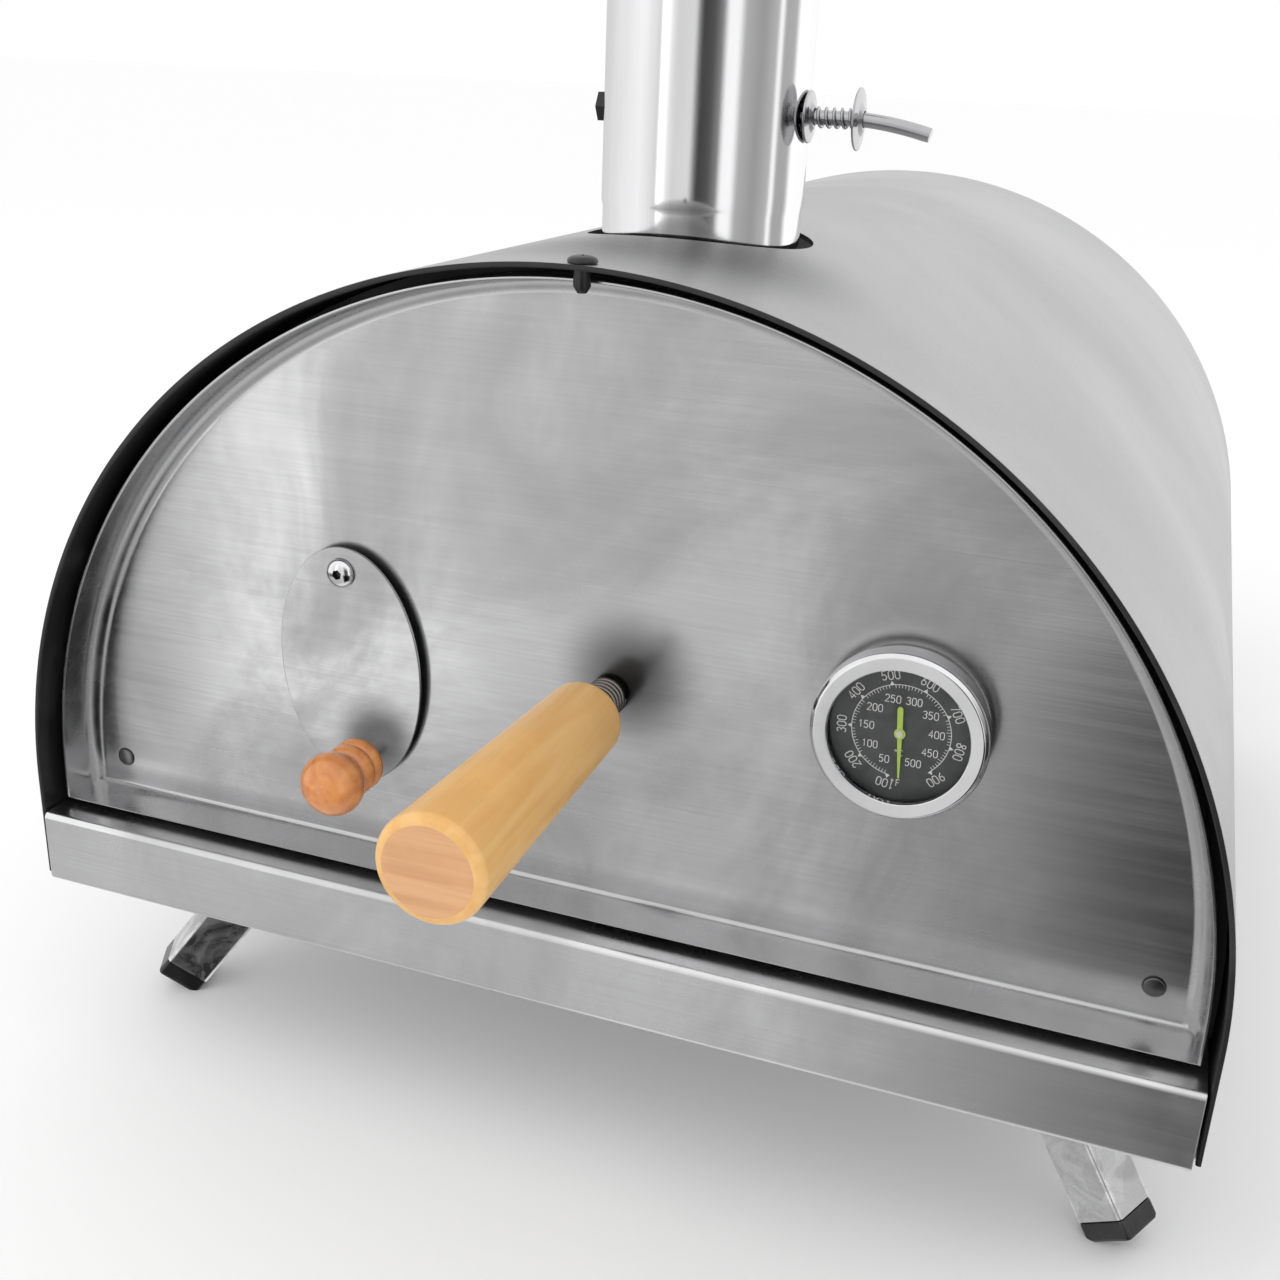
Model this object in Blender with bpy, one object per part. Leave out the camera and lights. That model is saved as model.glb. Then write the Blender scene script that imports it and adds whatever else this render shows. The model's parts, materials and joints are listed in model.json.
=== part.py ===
"""Wood fired pizza oven: an arched insulated oven on four folding legs, with a flanged door, an oval
air-vent cover, a thermometer, and a chimney with a damper.

Metres, +Z up. The front faces -Y. The origin is on the ground, under the middle of the overall box, which
runs from the tip of the door handle to the rear edge of the shell. Run it with
blender --background --python part.py, or from Blender's text editor.
"""

import math

import bmesh
import bpy
from mathutils import Matrix, Vector

# ---------------------------------------------------------------- driving dimensions (metres)
GAP = 0.0003                    # clearance between pieces that touch
RUNNING_GAP = 0.0001            # radial clearance of a shaft in the hole it turns in
CUT_PAST = 0.010                # how far a cutter runs past what it cuts
SHEET = 0.0012                  # general sheet-metal thickness
BEND = 0.0022                   # outside radius of a sheet-metal bend

# Outer shell: an arch with short straight skirts
SHELL_WIDTH = 0.490
SHELL_DEPTH = 0.618
SHELL_SHEET = 0.0020
CROWN_DROP = 0.004              # the crown sits this much lower than a true half circle
SKIRT = 0.0446                  # straight sides below the spring line
ARCH_STEPS = 40

# Front sill and base
SILL_HEIGHT = 0.033
SILL_TOP_DROP = 0.014           # top of the sill below the spring line
SILL_REACH = 0.0022             # how far the sill stands in front of the shell
SILL_SIDE_GAP = 0.0010
SILL_LIP = 0.018                # lower lip turned back under the oven

# Door
DOOR_SETBACK = 0.0098           # flange edge behind the shell's front edge
DOOR_GAP = 0.0038               # radial gap from the door to the shell
DOOR_FLANGE = 0.0200            # depth of the flange round the door
DOOR_FLOOR_GAP = 0.0030         # gap between the door and the sill
DOOR_SHEET = 0.0012
DOOR_PANEL_INSET = 0.052        # inner panel's edge inside the door's edge
DOOR_PANEL_DEPTH = 0.015
PANEL_RISE = 0.006              # inner panel's lower edge above the door's
DOOR_TO_RING = 0.0022           # gap behind the door's face to the front ring
RIVET_INSET_X = 0.0187          # rivet centre from the door's side edge at the spring line
RIVET_RISE = 0.0155             # rivet centre above the door's lower edge
RIVET_HEAD_RADIUS = 0.0038
RIVET_HEAD_HEIGHT = 0.0014
RIVET_EDGE = 0.0006
RIVET_SHANK_RADIUS = 0.0020
RIVET_TAIL = 0.0014             # peened end behind the door's face

# Handle
HANDLE_X = 0.0098
HANDLE_Z = 0.0784               # above the spring line
HANDLE_LENGTH = 0.1235
HANDLE_STANDOFF = 0.0232        # from the door's face to the wood
HANDLE_TIP_RADIUS = 0.0188
HANDLE_ROOT_RADIUS = 0.0148
HANDLE_TIP_ROUND = 0.0045
HANDLE_ROOT_ROUND = 0.0035
HANDLE_STUD_RADIUS = 0.0040
HANDLE_STUD_IN_WOOD = 0.045
HANDLE_NUT_FLATS = 0.0130
HANDLE_NUT_HEIGHT = 0.0065
THREAD_PAST_NUT = 0.0025        # threaded end beyond its nut
COLLAR_RADIUS = 0.0078
COLLAR_GROOVE = 0.0010
COLLAR_RINGS = 5

# Vent cover
VENT_PIVOT_X = -0.1035
VENT_PIVOT_Z = 0.1110           # above the spring line
VENT_HALF_WIDTH = 0.0318
VENT_HALF_HEIGHT = 0.0503
VENT_PIVOT_TO_CENTRE = 0.0400
VENT_SHEET = 0.0015
VENT_STANDOFF = 0.0030          # from the door's face to the back of the cover
VENT_TILT = math.radians(3.5)   # the cover hangs a little to one side
VENT_HOLE_INSET = 0.0105        # the hole in the door is smaller than the cover by this
VENT_HOLE_DROP = 0.0060         # the hole's centre below the cover's centre
VENT_STEPS = 32
SCREW_HEAD_RADIUS = 0.0060
SCREW_HEAD_HEIGHT = 0.0034
SCREW_RADIUS = 0.0025
SOCKET_FLATS = 0.0036
SOCKET_DEPTH = 0.0020
SPACER_RADIUS = 0.0065
VENT_NUT_FLATS = 0.0080
VENT_NUT_HEIGHT = 0.0040
KNOB_FROM_PIVOT = 0.0795
KNOB_SIDE = 0.0040
KNOB_STANDOFF = 0.0030
KNOB_SCREW_IN = 0.0100          # thread inside the knob
KNOB_SCREW_HEAD = 0.0016
KNOB_SCREW_FLANGE = 0.0020      # head and flange beyond the thread's radius
KNOB_BALL_RADIUS = 0.0132
KNOB_BALL_DEPTH = 0.0105        # half the ball's thickness
KNOB_BALL_CENTRE = 0.0235       # from the knob's base to the ball's middle
KNOB_BEAD = 0.0068              # length of each collar bead
KNOB_COLLAR_RADIUS = 0.0112

# Thermometer
THERMO_X = 0.1225
THERMO_Z = 0.0880               # above the spring line
THERMO_RADIUS = 0.0316
THERMO_WINDOW_RADIUS = 0.0252
THERMO_DEPTH = 0.0148           # bezel face in front of the door's face
THERMO_STEM_RADIUS = 0.0030
THERMO_STEM_LENGTH = 0.060
THERMO_NUT_FLATS = 0.0140
THERMO_NUT_HEIGHT = 0.0045
THERMO_SKIRT = 0.0085           # depth of the bezel's rolled side
THERMO_BEZEL_WALL = 0.0009
THERMO_CASE_WALL = 0.0010
THERMO_FLOOR = 0.0012           # the case's back wall
LENS_THICKNESS = 0.0012
DIAL_THICKNESS = 0.0008
NEEDLE_THICKNESS = 0.0006
DIAL_STEPS = 40
POINTER_LENGTH = 0.0172
POINTER_TAIL = 0.0102
POINTER_PIN_RADIUS = 0.0010
POINTER_PIN_HEAD = 0.0008       # pin in front of the needle, and behind the dial
POINTER_THIN = 0.0004           # half widths at the tip and at the tail
POINTER_WIDE = 0.0011
POINTER_HUB = 0.0020

# Catch screw through the crown of the shell
CATCH_X = 0.0040
CATCH_BACK = 0.0052             # behind the shell's front edge
CATCH_RADIUS = 0.0030
CATCH_HANG = 0.0078             # shank below the inside of the shell
CATCH_HEAD_RADIUS = 0.0052
CATCH_HEAD_HEIGHT = 0.0026
CATCH_SLOT_WIDTH = 0.0010
CATCH_SLOT_HALF = 0.0030
CATCH_SLOT_DEPTH = 0.0016

# Liner and insulation
LINER_INSET = 0.036             # liner's outside from the shell's outside
LINER_SHEET = 0.0012
LINER_REAR_GAP = 0.030          # from the inner back panel to the rear panel
MOUTH_LIP = 0.004               # the front ring covers this much of the liner's edge
REAR_PANEL_INSET = 0.006        # rear panel in from the shell's rear edge
BACK_RIM = 0.010                # rims of the two back panels

# Hearth
HEARTH_SIDE_GAP = 0.0020
STONE_SIDE_GAP = 0.0408         # stone's edge to the hearth's side edge
HEARTH_END_GAP = 0.0355         # free hearth in front of the stone and behind the basket
STONE_THICKNESS = 0.012
RACK_HEIGHT = 0.010
RACK_RAIL = 0.012
BASKET_DEPTH = 0.120
BASKET_HEIGHT = 0.050
BASKET_GAP = 0.012
BASKET_SLOTS = 9                # air slots in its front and rear walls
SLOT_WIDTH = 0.016
SLOT_HEIGHT = 0.0225
SLOT_RISE = 0.0125

# Chimney and damper
CHIMNEY_FROM_FRONT = 0.142
CHIMNEY_RADIUS = 0.0412
CHIMNEY_WALL = 0.0012
CHIMNEY_RISE = 0.320            # above the crown of the shell
CHIMNEY_STEPS = 40
SHELL_HOLE_GAP = 0.0053         # the shell's hole is this much larger in radius
COLLAR_FLANGE = 0.016
DAMPER_RISE = 0.0450            # damper axle above the crown of the shell
DAMPER_GAP = 0.0018             # plate's edge to the tube
AXLE_RADIUS = 0.0028
AXLE_HANDLE_REACH = 0.050       # from the tube's side to the end of the bent handle
SPRING_LENGTH = 0.0160
SPRING_RADIUS = 0.0048
SPRING_RINGS = 4
SPRING_WIRE = 0.0007            # wire's radius
SPRING_SLEEVE = 0.0008
AXLE_DROOP = 0.0060             # the handle's end below the axle
AXLE_STUB = 0.0052              # axle past the tube on the nut's side
AXLE_STRAIGHT = 0.0034          # straight rod past the spring
DAMPER_SHEET = 0.0016
DAMPER_NUT_FLATS = 0.0110
DAMPER_NUT_HEIGHT = 0.0042
INNER_WASHER_RADIUS = 0.0100
OUTER_WASHER_RADIUS = 0.0118
WASHER_HEIGHT = 0.0030
TUBE_INTO_LINER = 0.0080        # tube's end below the liner's crown
COLLAR_NECK_GAP = 0.0080        # from the collar's neck to the shell
CAP_RADIUS = 0.058
CAP_CONE_HEIGHT = 0.022
CAP_RISE = 0.030
CAP_RIM = 0.0030                # turned-down edge of the cap
CAP_RING_IN = 0.0150            # ring inside the tube's top
CAP_RING_OUT = 0.0040           # ring above the tube's top
CAP_STRUT_WIDTH = 0.0100
CAP_STRUT_THICKNESS = 0.0008
CAP_STRUT_START = 0.0050        # strut's lower end below the tube's top

# Legs
LEG_SECTION = 0.0225
LEG_WALL = 0.0014
LEG_CORNER = 0.0020             # outside radius of the square tube's edges
LEG_LENGTH = 0.0800             # pivot to the tube's end
LEG_HEAD = 0.0070               # tube above the pivot
LEG_SPLAY = math.radians(37.0)  # from the vertical
LEG_YAW = math.radians(27.0)    # splay direction, from the side towards the front or the rear
LEG_PIVOT_INSET_X = 0.065       # pivot in from the shell's side
LEG_PIVOT_INSET_Y = 0.087       # pivot in from the shell's front or rear edge
LEG_TOP_CLEARANCE = 0.0005      # turning leg to the bracket's top plate
FOOT_LENGTH = 0.0090            # plug beyond the tube
FOOT_FLAT_CUT = 0.0040          # ground face above the plug's lowest corner
PIN_RADIUS = 0.0030
PIN_HEAD = 0.0020               # pin's head, in height and beyond its radius
PIN_PAST_EAR = 0.0030
FOOT_STUB = 0.0120              # plug inside the tube
EAR_BELOW_PIN = 0.0050          # bracket's ear below the pin
STOP_Z = 0.0015                 # lower edge of the bracket's stop wall above the pivot

# ---------------------------------------------------------------- derived reference values
LEG_PIVOT_DROP = math.hypot(LEG_SECTION / 2, LEG_HEAD) + SHEET + LEG_TOP_CLEARANCE
LEG_DOWN = math.cos(LEG_SPLAY)
LEG_OUT = math.sin(LEG_SPLAY)
FOOT_DROP = ((LEG_LENGTH + FOOT_LENGTH) * LEG_DOWN + LEG_SECTION / 2 * LEG_OUT - FOOT_FLAT_CUT)
BASE_BELOW_SPRING = SILL_TOP_DROP + SILL_HEIGHT
SPRING_Z = FOOT_DROP + LEG_PIVOT_DROP + BASE_BELOW_SPRING   # spring line above the ground
BASE_Z = SPRING_Z - BASE_BELOW_SPRING                       # underside of the sill and base
SILL_TOP_Z = SPRING_Z - SILL_TOP_DROP

SHELL_HALF = SHELL_WIDTH / 2
SHELL_CROWN = SHELL_HALF - CROWN_DROP
CROWN_Z = SPRING_Z + SHELL_CROWN

FACE_BACK = DOOR_SETBACK + DOOR_FLANGE                      # face's back, from the shell's front
HANDLE_REACH = HANDLE_LENGTH + HANDLE_STANDOFF - (FACE_BACK - DOOR_SHEET)
FRONT_Y = HANDLE_REACH - (HANDLE_REACH + SHELL_DEPTH) / 2   # the shell's front edge
REAR_Y = FRONT_Y + SHELL_DEPTH
DOOR_FRONT_Y = FRONT_Y + DOOR_SETBACK
FACE_BACK_Y = FRONT_Y + FACE_BACK
FACE_Y = FACE_BACK_Y - DOOR_SHEET                           # front of the door's face
RING_Y = FACE_BACK_Y + DOOR_TO_RING
LINER_FRONT_Y = RING_Y + SHEET + GAP
REAR_PANEL_Y = REAR_Y - REAR_PANEL_INSET - SHEET            # front of the rear panel
LINER_REAR_Y = REAR_PANEL_Y - LINER_REAR_GAP

DOOR_HALF = SHELL_HALF - SHELL_SHEET - DOOR_GAP
DOOR_CROWN = SHELL_CROWN - SHELL_SHEET - DOOR_GAP
DOOR_BOTTOM_Z = SILL_TOP_Z + DOOR_FLOOR_GAP
LINER_HALF = SHELL_HALF - LINER_INSET
LINER_CROWN = SHELL_CROWN - LINER_INSET
HEARTH_TOP_Z = SILL_TOP_Z
HEARTH_HALF = LINER_HALF - LINER_SHEET - HEARTH_SIDE_GAP
HEARTH_FRONT_Y = LINER_FRONT_Y + MOUTH_LIP
HEARTH_REAR_Y = LINER_REAR_Y - BACK_RIM - GAP
STONE_HALF = HEARTH_HALF - STONE_SIDE_GAP
STONE_Y = HEARTH_FRONT_Y + HEARTH_END_GAP
BASKET_Y = HEARTH_REAR_Y - HEARTH_END_GAP - BASKET_DEPTH
STONE_DEPTH = BASKET_Y - BASKET_GAP - STONE_Y

CHIMNEY_Y = FRONT_Y + CHIMNEY_FROM_FRONT
DAMPER_Z = CROWN_Z + DAMPER_RISE
CHIMNEY_TOP_Z = CROWN_Z + CHIMNEY_RISE
TUBE_LOW_Z = SPRING_Z + LINER_CROWN - LINER_SHEET - TUBE_INTO_LINER

# ---------------------------------------------------------------- materials
FINISHES = {
    "shell_steel": ((0.55, 0.56, 0.57), 0.42, 0.9),
    "brushed_steel": ((0.58, 0.58, 0.58), 0.30, 1.0),
    "polished_steel": ((0.72, 0.72, 0.73), 0.12, 1.0),
    "chrome": ((0.80, 0.80, 0.81), 0.06, 1.0),
    "galvanised": ((0.62, 0.63, 0.64), 0.38, 1.0),
    "black_steel": ((0.03, 0.03, 0.03), 0.45, 0.6),
    "dark_iron": ((0.10, 0.10, 0.10), 0.60, 0.8),
    "handle_wood": ((0.78, 0.56, 0.30), 0.50, 0.0),
    "knob_wood": ((0.66, 0.33, 0.13), 0.25, 0.0),
    "dial_black": ((0.05, 0.05, 0.05), 0.40, 0.0),
    "pointer_green": ((0.42, 0.62, 0.10), 0.45, 0.0),
    "lens_glass": ((0.90, 0.92, 0.92), 0.05, 0.0),
    "black_plastic": ((0.02, 0.02, 0.02), 0.40, 0.0),
    "stone": ((0.70, 0.63, 0.52), 0.85, 0.0),
    "blanket": ((0.88, 0.87, 0.84), 0.95, 0.0),
}


def clear_scene():
    for obj in list(bpy.data.objects):
        bpy.data.objects.remove(obj, do_unlink=True)


def make_material(name):
    colour, roughness, metallic = FINISHES[name]
    material = bpy.data.materials.new(name)
    material.use_nodes = True
    shader = material.node_tree.nodes["Principled BSDF"]
    shader.inputs["Base Color"].default_value = (*colour, 1.0)
    shader.inputs["Roughness"].default_value = roughness
    shader.inputs["Metallic"].default_value = metallic
    return material


def add_empty(name, location, rotation_z=0.0):
    empty = bpy.data.objects.new(name, None)
    empty.location = location
    empty.rotation_euler = (0.0, 0.0, rotation_z)
    bpy.context.collection.objects.link(empty)
    return empty


def add_object(name, bm, finish, parent=None, smooth=True):
    """Turns a bmesh in world coordinates into an object whose origin is its parent's place."""
    bmesh.ops.remove_doubles(bm, verts=bm.verts, dist=1e-6)
    bmesh.ops.recalc_face_normals(bm, faces=bm.faces)
    if parent is not None:
        bpy.context.view_layer.update()
        bm.transform(parent.matrix_world.inverted())
    mesh = bpy.data.meshes.new(name)
    bm.to_mesh(mesh)
    bm.free()
    if smooth:
        mesh.shade_smooth()
        mesh.set_sharp_from_angle(angle=math.radians(35.0))
    obj = bpy.data.objects.new(name, mesh)
    bpy.context.collection.objects.link(obj)
    if parent is not None:
        obj.parent = parent
    if finish is not None:
        material = bpy.data.materials.get(finish) or make_material(finish)
        mesh.materials.append(material)
    return obj


def add_cutter(name, bm):
    cutter = add_object(name, bm, None, smooth=False)
    cutter.hide_render = True
    cutter.display_type = "WIRE"
    return cutter


def boolean(obj, cutter, operation="DIFFERENCE"):
    modifier = obj.modifiers.new(cutter.name, "BOOLEAN")
    modifier.operation = operation
    modifier.object = cutter
    return modifier


# ---------------------------------------------------------------- mesh building blocks
def arch_outline(half_width, crown, bottom, steps=ARCH_STEPS):
    """(x, z) points of an arch, from its lower right corner over the crown to its lower left corner.

    z counts from the spring line, and bottom is where the straight sides end."""
    points = [(half_width, bottom)] if bottom < -1e-9 else []
    for i in range(steps + 1):
        angle = math.pi * i / steps
        points.append((half_width * math.cos(angle), crown * math.sin(angle)))
    if bottom < -1e-9:
        points.append((-half_width, bottom))
    return points


def ellipse_outline(half_width, half_height, steps=VENT_STEPS):
    return [(half_width * math.cos(2 * math.pi * i / steps), half_height * math.sin(2 * math.pi * i / steps))
            for i in range(steps)]


def bridge(bm, ring_a, ring_b, closed=True):
    count = len(ring_a)
    for i in range(count if closed else count - 1):
        j = (i + 1) % count
        bm.faces.new((ring_a[i], ring_a[j], ring_b[j], ring_b[i]))


def prism(points, place, start, end, bm=None):
    """A closed polygon swept from start to end. place(u, v, t) gives the world point."""
    bm = bm or bmesh.new()
    ring_a = [bm.verts.new(place(u, v, start)) for u, v in points]
    ring_b = [bm.verts.new(place(u, v, end)) for u, v in points]
    bridge(bm, ring_a, ring_b)
    bm.faces.new(ring_a)
    bm.faces.new(ring_b)
    return bm


def along_y(u, v, t):
    return (u, t, v)


def along_x(u, v, t):
    return (t, u, v)


def along_z(u, v, t):
    return (u, v, t)


def box(low, high, bm=None):
    corners = [(low[0], low[1]), (high[0], low[1]), (high[0], high[1]), (low[0], high[1])]
    return prism(corners, along_z, low[2], high[2], bm)


def arch_strip(half_width, crown, bottom, thickness, y_start, y_end):
    """A bent sheet: the arch's outside outline and the same outline moved in by the thickness."""
    bm = bmesh.new()
    outer = arch_outline(half_width, crown, bottom)
    inner = arch_outline(half_width - thickness, crown - thickness, bottom)
    rings = []
    for outline in (outer, inner):
        for y in (y_start, y_end):
            rings.append([bm.verts.new((x, y, SPRING_Z + z)) for x, z in outline])
    outer_front, outer_rear, inner_front, inner_rear = rings
    bridge(bm, outer_front, outer_rear, closed=False)
    bridge(bm, inner_front, inner_rear, closed=False)
    bridge(bm, outer_front, inner_front, closed=False)
    bridge(bm, outer_rear, inner_rear, closed=False)
    for end in (0, -1):
        bm.faces.new([ring[end] for ring in (outer_front, outer_rear, inner_rear, inner_front)])
    return bm


def turned(profile, steps, place):
    """A closed (radius, height) profile turned about an axis. place(x, y, h) gives the world point.

    Profile points at radius 0 become one point on the axis."""
    bm = bmesh.new()
    rings = []
    for radius, height in profile:
        if radius < 1e-9:
            rings.append([bm.verts.new(place(0.0, 0.0, height))])
            continue
        rings.append([bm.verts.new(place(radius * math.cos(2 * math.pi * i / steps),
                                         radius * math.sin(2 * math.pi * i / steps), height))
                      for i in range(steps)])
    for ring_a, ring_b in zip(rings, rings[1:] + rings[:1]):
        if len(ring_a) == 1 and len(ring_b) == 1:
            continue
        if len(ring_a) == 1 or len(ring_b) == 1:
            tip, ring = (ring_a, ring_b) if len(ring_a) == 1 else (ring_b, ring_a)
            for i in range(steps):
                bm.faces.new((tip[0], ring[i], ring[(i + 1) % steps]))
            continue
        bridge(bm, ring_a, ring_b)
    return bm


def rod_profile(radius, start, end, chamfer=0.0):
    return [(0.0, start), (radius - chamfer, start), (radius, start + chamfer),
            (radius, end - chamfer), (radius - chamfer, end), (0.0, end)] if chamfer else \
           [(0.0, start), (radius, start), (radius, end), (0.0, end)]


def ring_profile(inner, outer, start, end):
    return [(inner, start), (outer, start), (outer, end), (inner, end)]


def axis_y(x, z):
    """Places a turned shape on a line along +Y through (x, z)."""
    return lambda a, b, h: (x + a, h, z + b)


def axis_z(x, y):
    return lambda a, b, h: (x + a, y + b, h)


def axis_x(y, z):
    return lambda a, b, h: (h, y + a, z + b)


def fillet_path(points, radius, steps=3):
    """An open path whose corners become arcs."""
    path = [Vector(points[0])]
    for before, corner, after in zip(points, points[1:], points[2:]):
        corner = Vector(corner)
        to_before = (Vector(before) - corner).normalized()
        to_after = (Vector(after) - corner).normalized()
        half = to_before.angle(to_after) / 2
        run = radius / math.tan(half)
        centre = corner + (to_before + to_after).normalized() * (radius / math.sin(half))
        start = corner + to_before * run - centre
        end = corner + to_after * run - centre
        sweep = start.angle_signed(end)
        for i in range(steps + 1):
            turned_by = Matrix.Rotation(-sweep * i / steps, 2)
            path.append(centre + turned_by @ start)
    path.append(Vector(points[-1]))
    return path


def sheet_outline(points, thickness, bend=BEND):
    """The closed outline of a bent sheet: the path is its left face, and the sheet lies on the right."""
    left = fillet_path(points, bend)
    right = []
    for i, point in enumerate(left):
        ahead = left[min(i + 1, len(left) - 1)]
        behind = left[max(i - 1, 0)]
        direction = (ahead - behind).normalized()
        right.append(point + Vector((direction.y, -direction.x)) * thickness)
    return [tuple(p) for p in left] + [tuple(p) for p in reversed(right)]


def hexagon(across_flats):
    radius = across_flats / math.sqrt(3.0)
    return [(radius * math.cos(math.pi * i / 3), radius * math.sin(math.pi * i / 3)) for i in range(6)]


# ---------------------------------------------------------------- shell, liner and insulation
def vertical_bore(name, radius, x, y, low, high, steps=CHIMNEY_STEPS):
    return add_cutter(name, turned(rod_profile(radius, low, high), steps, axis_z(x, y)))


def build_shell():
    strip = arch_strip(SHELL_HALF, SHELL_CROWN, -SKIRT, SHELL_SHEET, FRONT_Y, REAR_Y)
    shell = add_object("outer_shell", strip, "shell_steel")
    boolean(shell, vertical_bore("shell_flue_hole", CHIMNEY_RADIUS + SHELL_HOLE_GAP, 0.0, CHIMNEY_Y,
                                 SPRING_Z + SHELL_CROWN / 2, CROWN_Z + 0.010))
    boolean(shell, vertical_bore("catch_hole", CATCH_RADIUS + GAP, CATCH_X, FRONT_Y + CATCH_BACK,
                                 CROWN_Z - 0.020, CROWN_Z + 0.010, 16))


BLANKET_INSET = SHELL_SHEET + SHEET + 3 * GAP       # clears the base plate's upturned sides
FLOOR_Z = BASE_Z + 2 * (SHEET + GAP)                # what stands on the base plate starts here


def build_insulation():
    thickness = LINER_INSET - BLANKET_INSET - GAP
    rear_y = REAR_PANEL_Y - BACK_RIM - GAP
    strip = arch_strip(SHELL_HALF - BLANKET_INSET, SHELL_CROWN - BLANKET_INSET, FLOOR_Z - SPRING_Z, thickness,
                       LINER_FRONT_Y, rear_y)
    blanket = add_object("insulation_arch", strip, "blanket")
    hole_radius = CHIMNEY_RADIUS + COLLAR_FLANGE + 4 * GAP
    boolean(blanket, vertical_bore("blanket_flue_hole", hole_radius, 0.0, CHIMNEY_Y, SPRING_Z + LINER_CROWN / 2,
                                   CROWN_Z + CUT_PAST))
    outline = arch_outline(LINER_HALF - GAP, LINER_CROWN - GAP, FLOOR_Z - SPRING_Z)
    add_object("insulation_back", arch_plate(outline, LINER_REAR_Y + GAP, rear_y), "blanket")


def arch_plate(outline, y_start, y_end):
    return prism([(x, SPRING_Z + z) for x, z in outline], along_y, y_start, y_end)


def arch_pan(half_width, crown, bottom, y_open, y_floor, thickness):
    """A pan with an arched outline: a face at y_floor, and a rim that reaches to y_open all round."""
    towards_open = 1.0 if y_open > y_floor else -1.0
    outer = arch_outline(half_width, crown, bottom)
    inner = arch_outline(half_width - thickness, crown - thickness, bottom + thickness)
    bm = bmesh.new()
    rings = []
    for outline, y in ((outer, y_floor), (outer, y_open), (inner, y_open),
                       (inner, y_floor + towards_open * thickness)):
        rings.append([bm.verts.new((x, y, SPRING_Z + z)) for x, z in outline])
    for ring_a, ring_b in zip(rings, rings[1:]):
        bridge(bm, ring_a, ring_b)
    bm.faces.new(rings[0])
    bm.faces.new(rings[-1])
    return bm


def build_liner():
    strip = arch_strip(LINER_HALF, LINER_CROWN, FLOOR_Z - SPRING_Z, LINER_SHEET, LINER_FRONT_Y, LINER_REAR_Y)
    liner = add_object("inner_liner", strip, "dark_iron")
    boolean(liner, vertical_bore("liner_flue_hole", CHIMNEY_RADIUS + GAP, 0.0, CHIMNEY_Y,
                                 SPRING_Z + LINER_CROWN / 2, CROWN_Z))
    ring_half = SHELL_HALF - SHELL_SHEET - GAP
    ring_crown = SHELL_CROWN - SHELL_SHEET - GAP
    mouth_half = LINER_HALF - LINER_SHEET - MOUTH_LIP
    ring = arch_strip(ring_half, ring_crown, SILL_TOP_Z + GAP - SPRING_Z, ring_half - mouth_half, RING_Y,
                      RING_Y + SHEET)
    add_object("front_ring", ring, "black_steel")
    rear = arch_pan(ring_half, ring_crown, BASE_Z + SHEET + GAP - SPRING_Z, REAR_PANEL_Y - BACK_RIM,
                    REAR_PANEL_Y + SHEET, SHEET)
    add_object("rear_panel", rear, "black_steel")
    inside = LINER_SHEET + GAP
    back = arch_pan(LINER_HALF - inside, LINER_CROWN - inside, HEARTH_TOP_Z + GAP - SPRING_Z,
                    LINER_REAR_Y - BACK_RIM, LINER_REAR_Y, LINER_SHEET)
    add_object("inner_back_panel", back, "dark_iron")


# ---------------------------------------------------------------- base, hearth and what stands on it
def build_base():
    half = SHELL_HALF - SHELL_SHEET - SILL_SIDE_GAP
    face_y = FRONT_Y - SILL_REACH
    path = [(face_y + SILL_LIP, BASE_Z), (face_y, BASE_Z), (face_y, SILL_TOP_Z), (LINER_FRONT_Y - GAP, SILL_TOP_Z)]
    add_object("front_sill", prism(sheet_outline(path, SHEET), along_x, -half, half), "brushed_steel")

    plate_z = BASE_Z + SHEET + GAP
    side = SHELL_HALF - SHELL_SHEET - GAP
    path = [(side, plate_z + 0.012), (side, plate_z), (-side, plate_z), (-side, plate_z + 0.012)]
    rear_y = REAR_PANEL_Y - BACK_RIM - GAP
    plate = prism(sheet_outline(path, SHEET), along_y, face_y + 2 * BEND + GAP, rear_y)
    add_object("base_plate", plate, "galvanised")

    path = [(-HEARTH_HALF, FLOOR_Z), (-HEARTH_HALF, HEARTH_TOP_Z), (HEARTH_HALF, HEARTH_TOP_Z),
            (HEARTH_HALF, FLOOR_Z)]
    hearth = prism(sheet_outline(path, SHEET), along_y, LINER_FRONT_Y, LINER_REAR_Y)
    add_object("hearth_pan", hearth, "dark_iron")


def rectangle_ring(name, finish, half_x, y_start, y_end, rail, z_start, z_end):
    outer = [(-half_x, y_start), (half_x, y_start), (half_x, y_end), (-half_x, y_end)]
    inner = [(-half_x + rail, y_start + rail), (half_x - rail, y_start + rail),
             (half_x - rail, y_end - rail), (-half_x + rail, y_end - rail)]
    bm = bmesh.new()
    rings = [[bm.verts.new((x, y, z)) for x, y in outline]
             for outline, z in ((outer, z_start), (outer, z_end), (inner, z_end), (inner, z_start))]
    for ring_a, ring_b in zip(rings, rings[1:] + rings[:1]):
        bridge(bm, ring_a, ring_b)
    return add_object(name, bm, finish, smooth=False)


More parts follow.
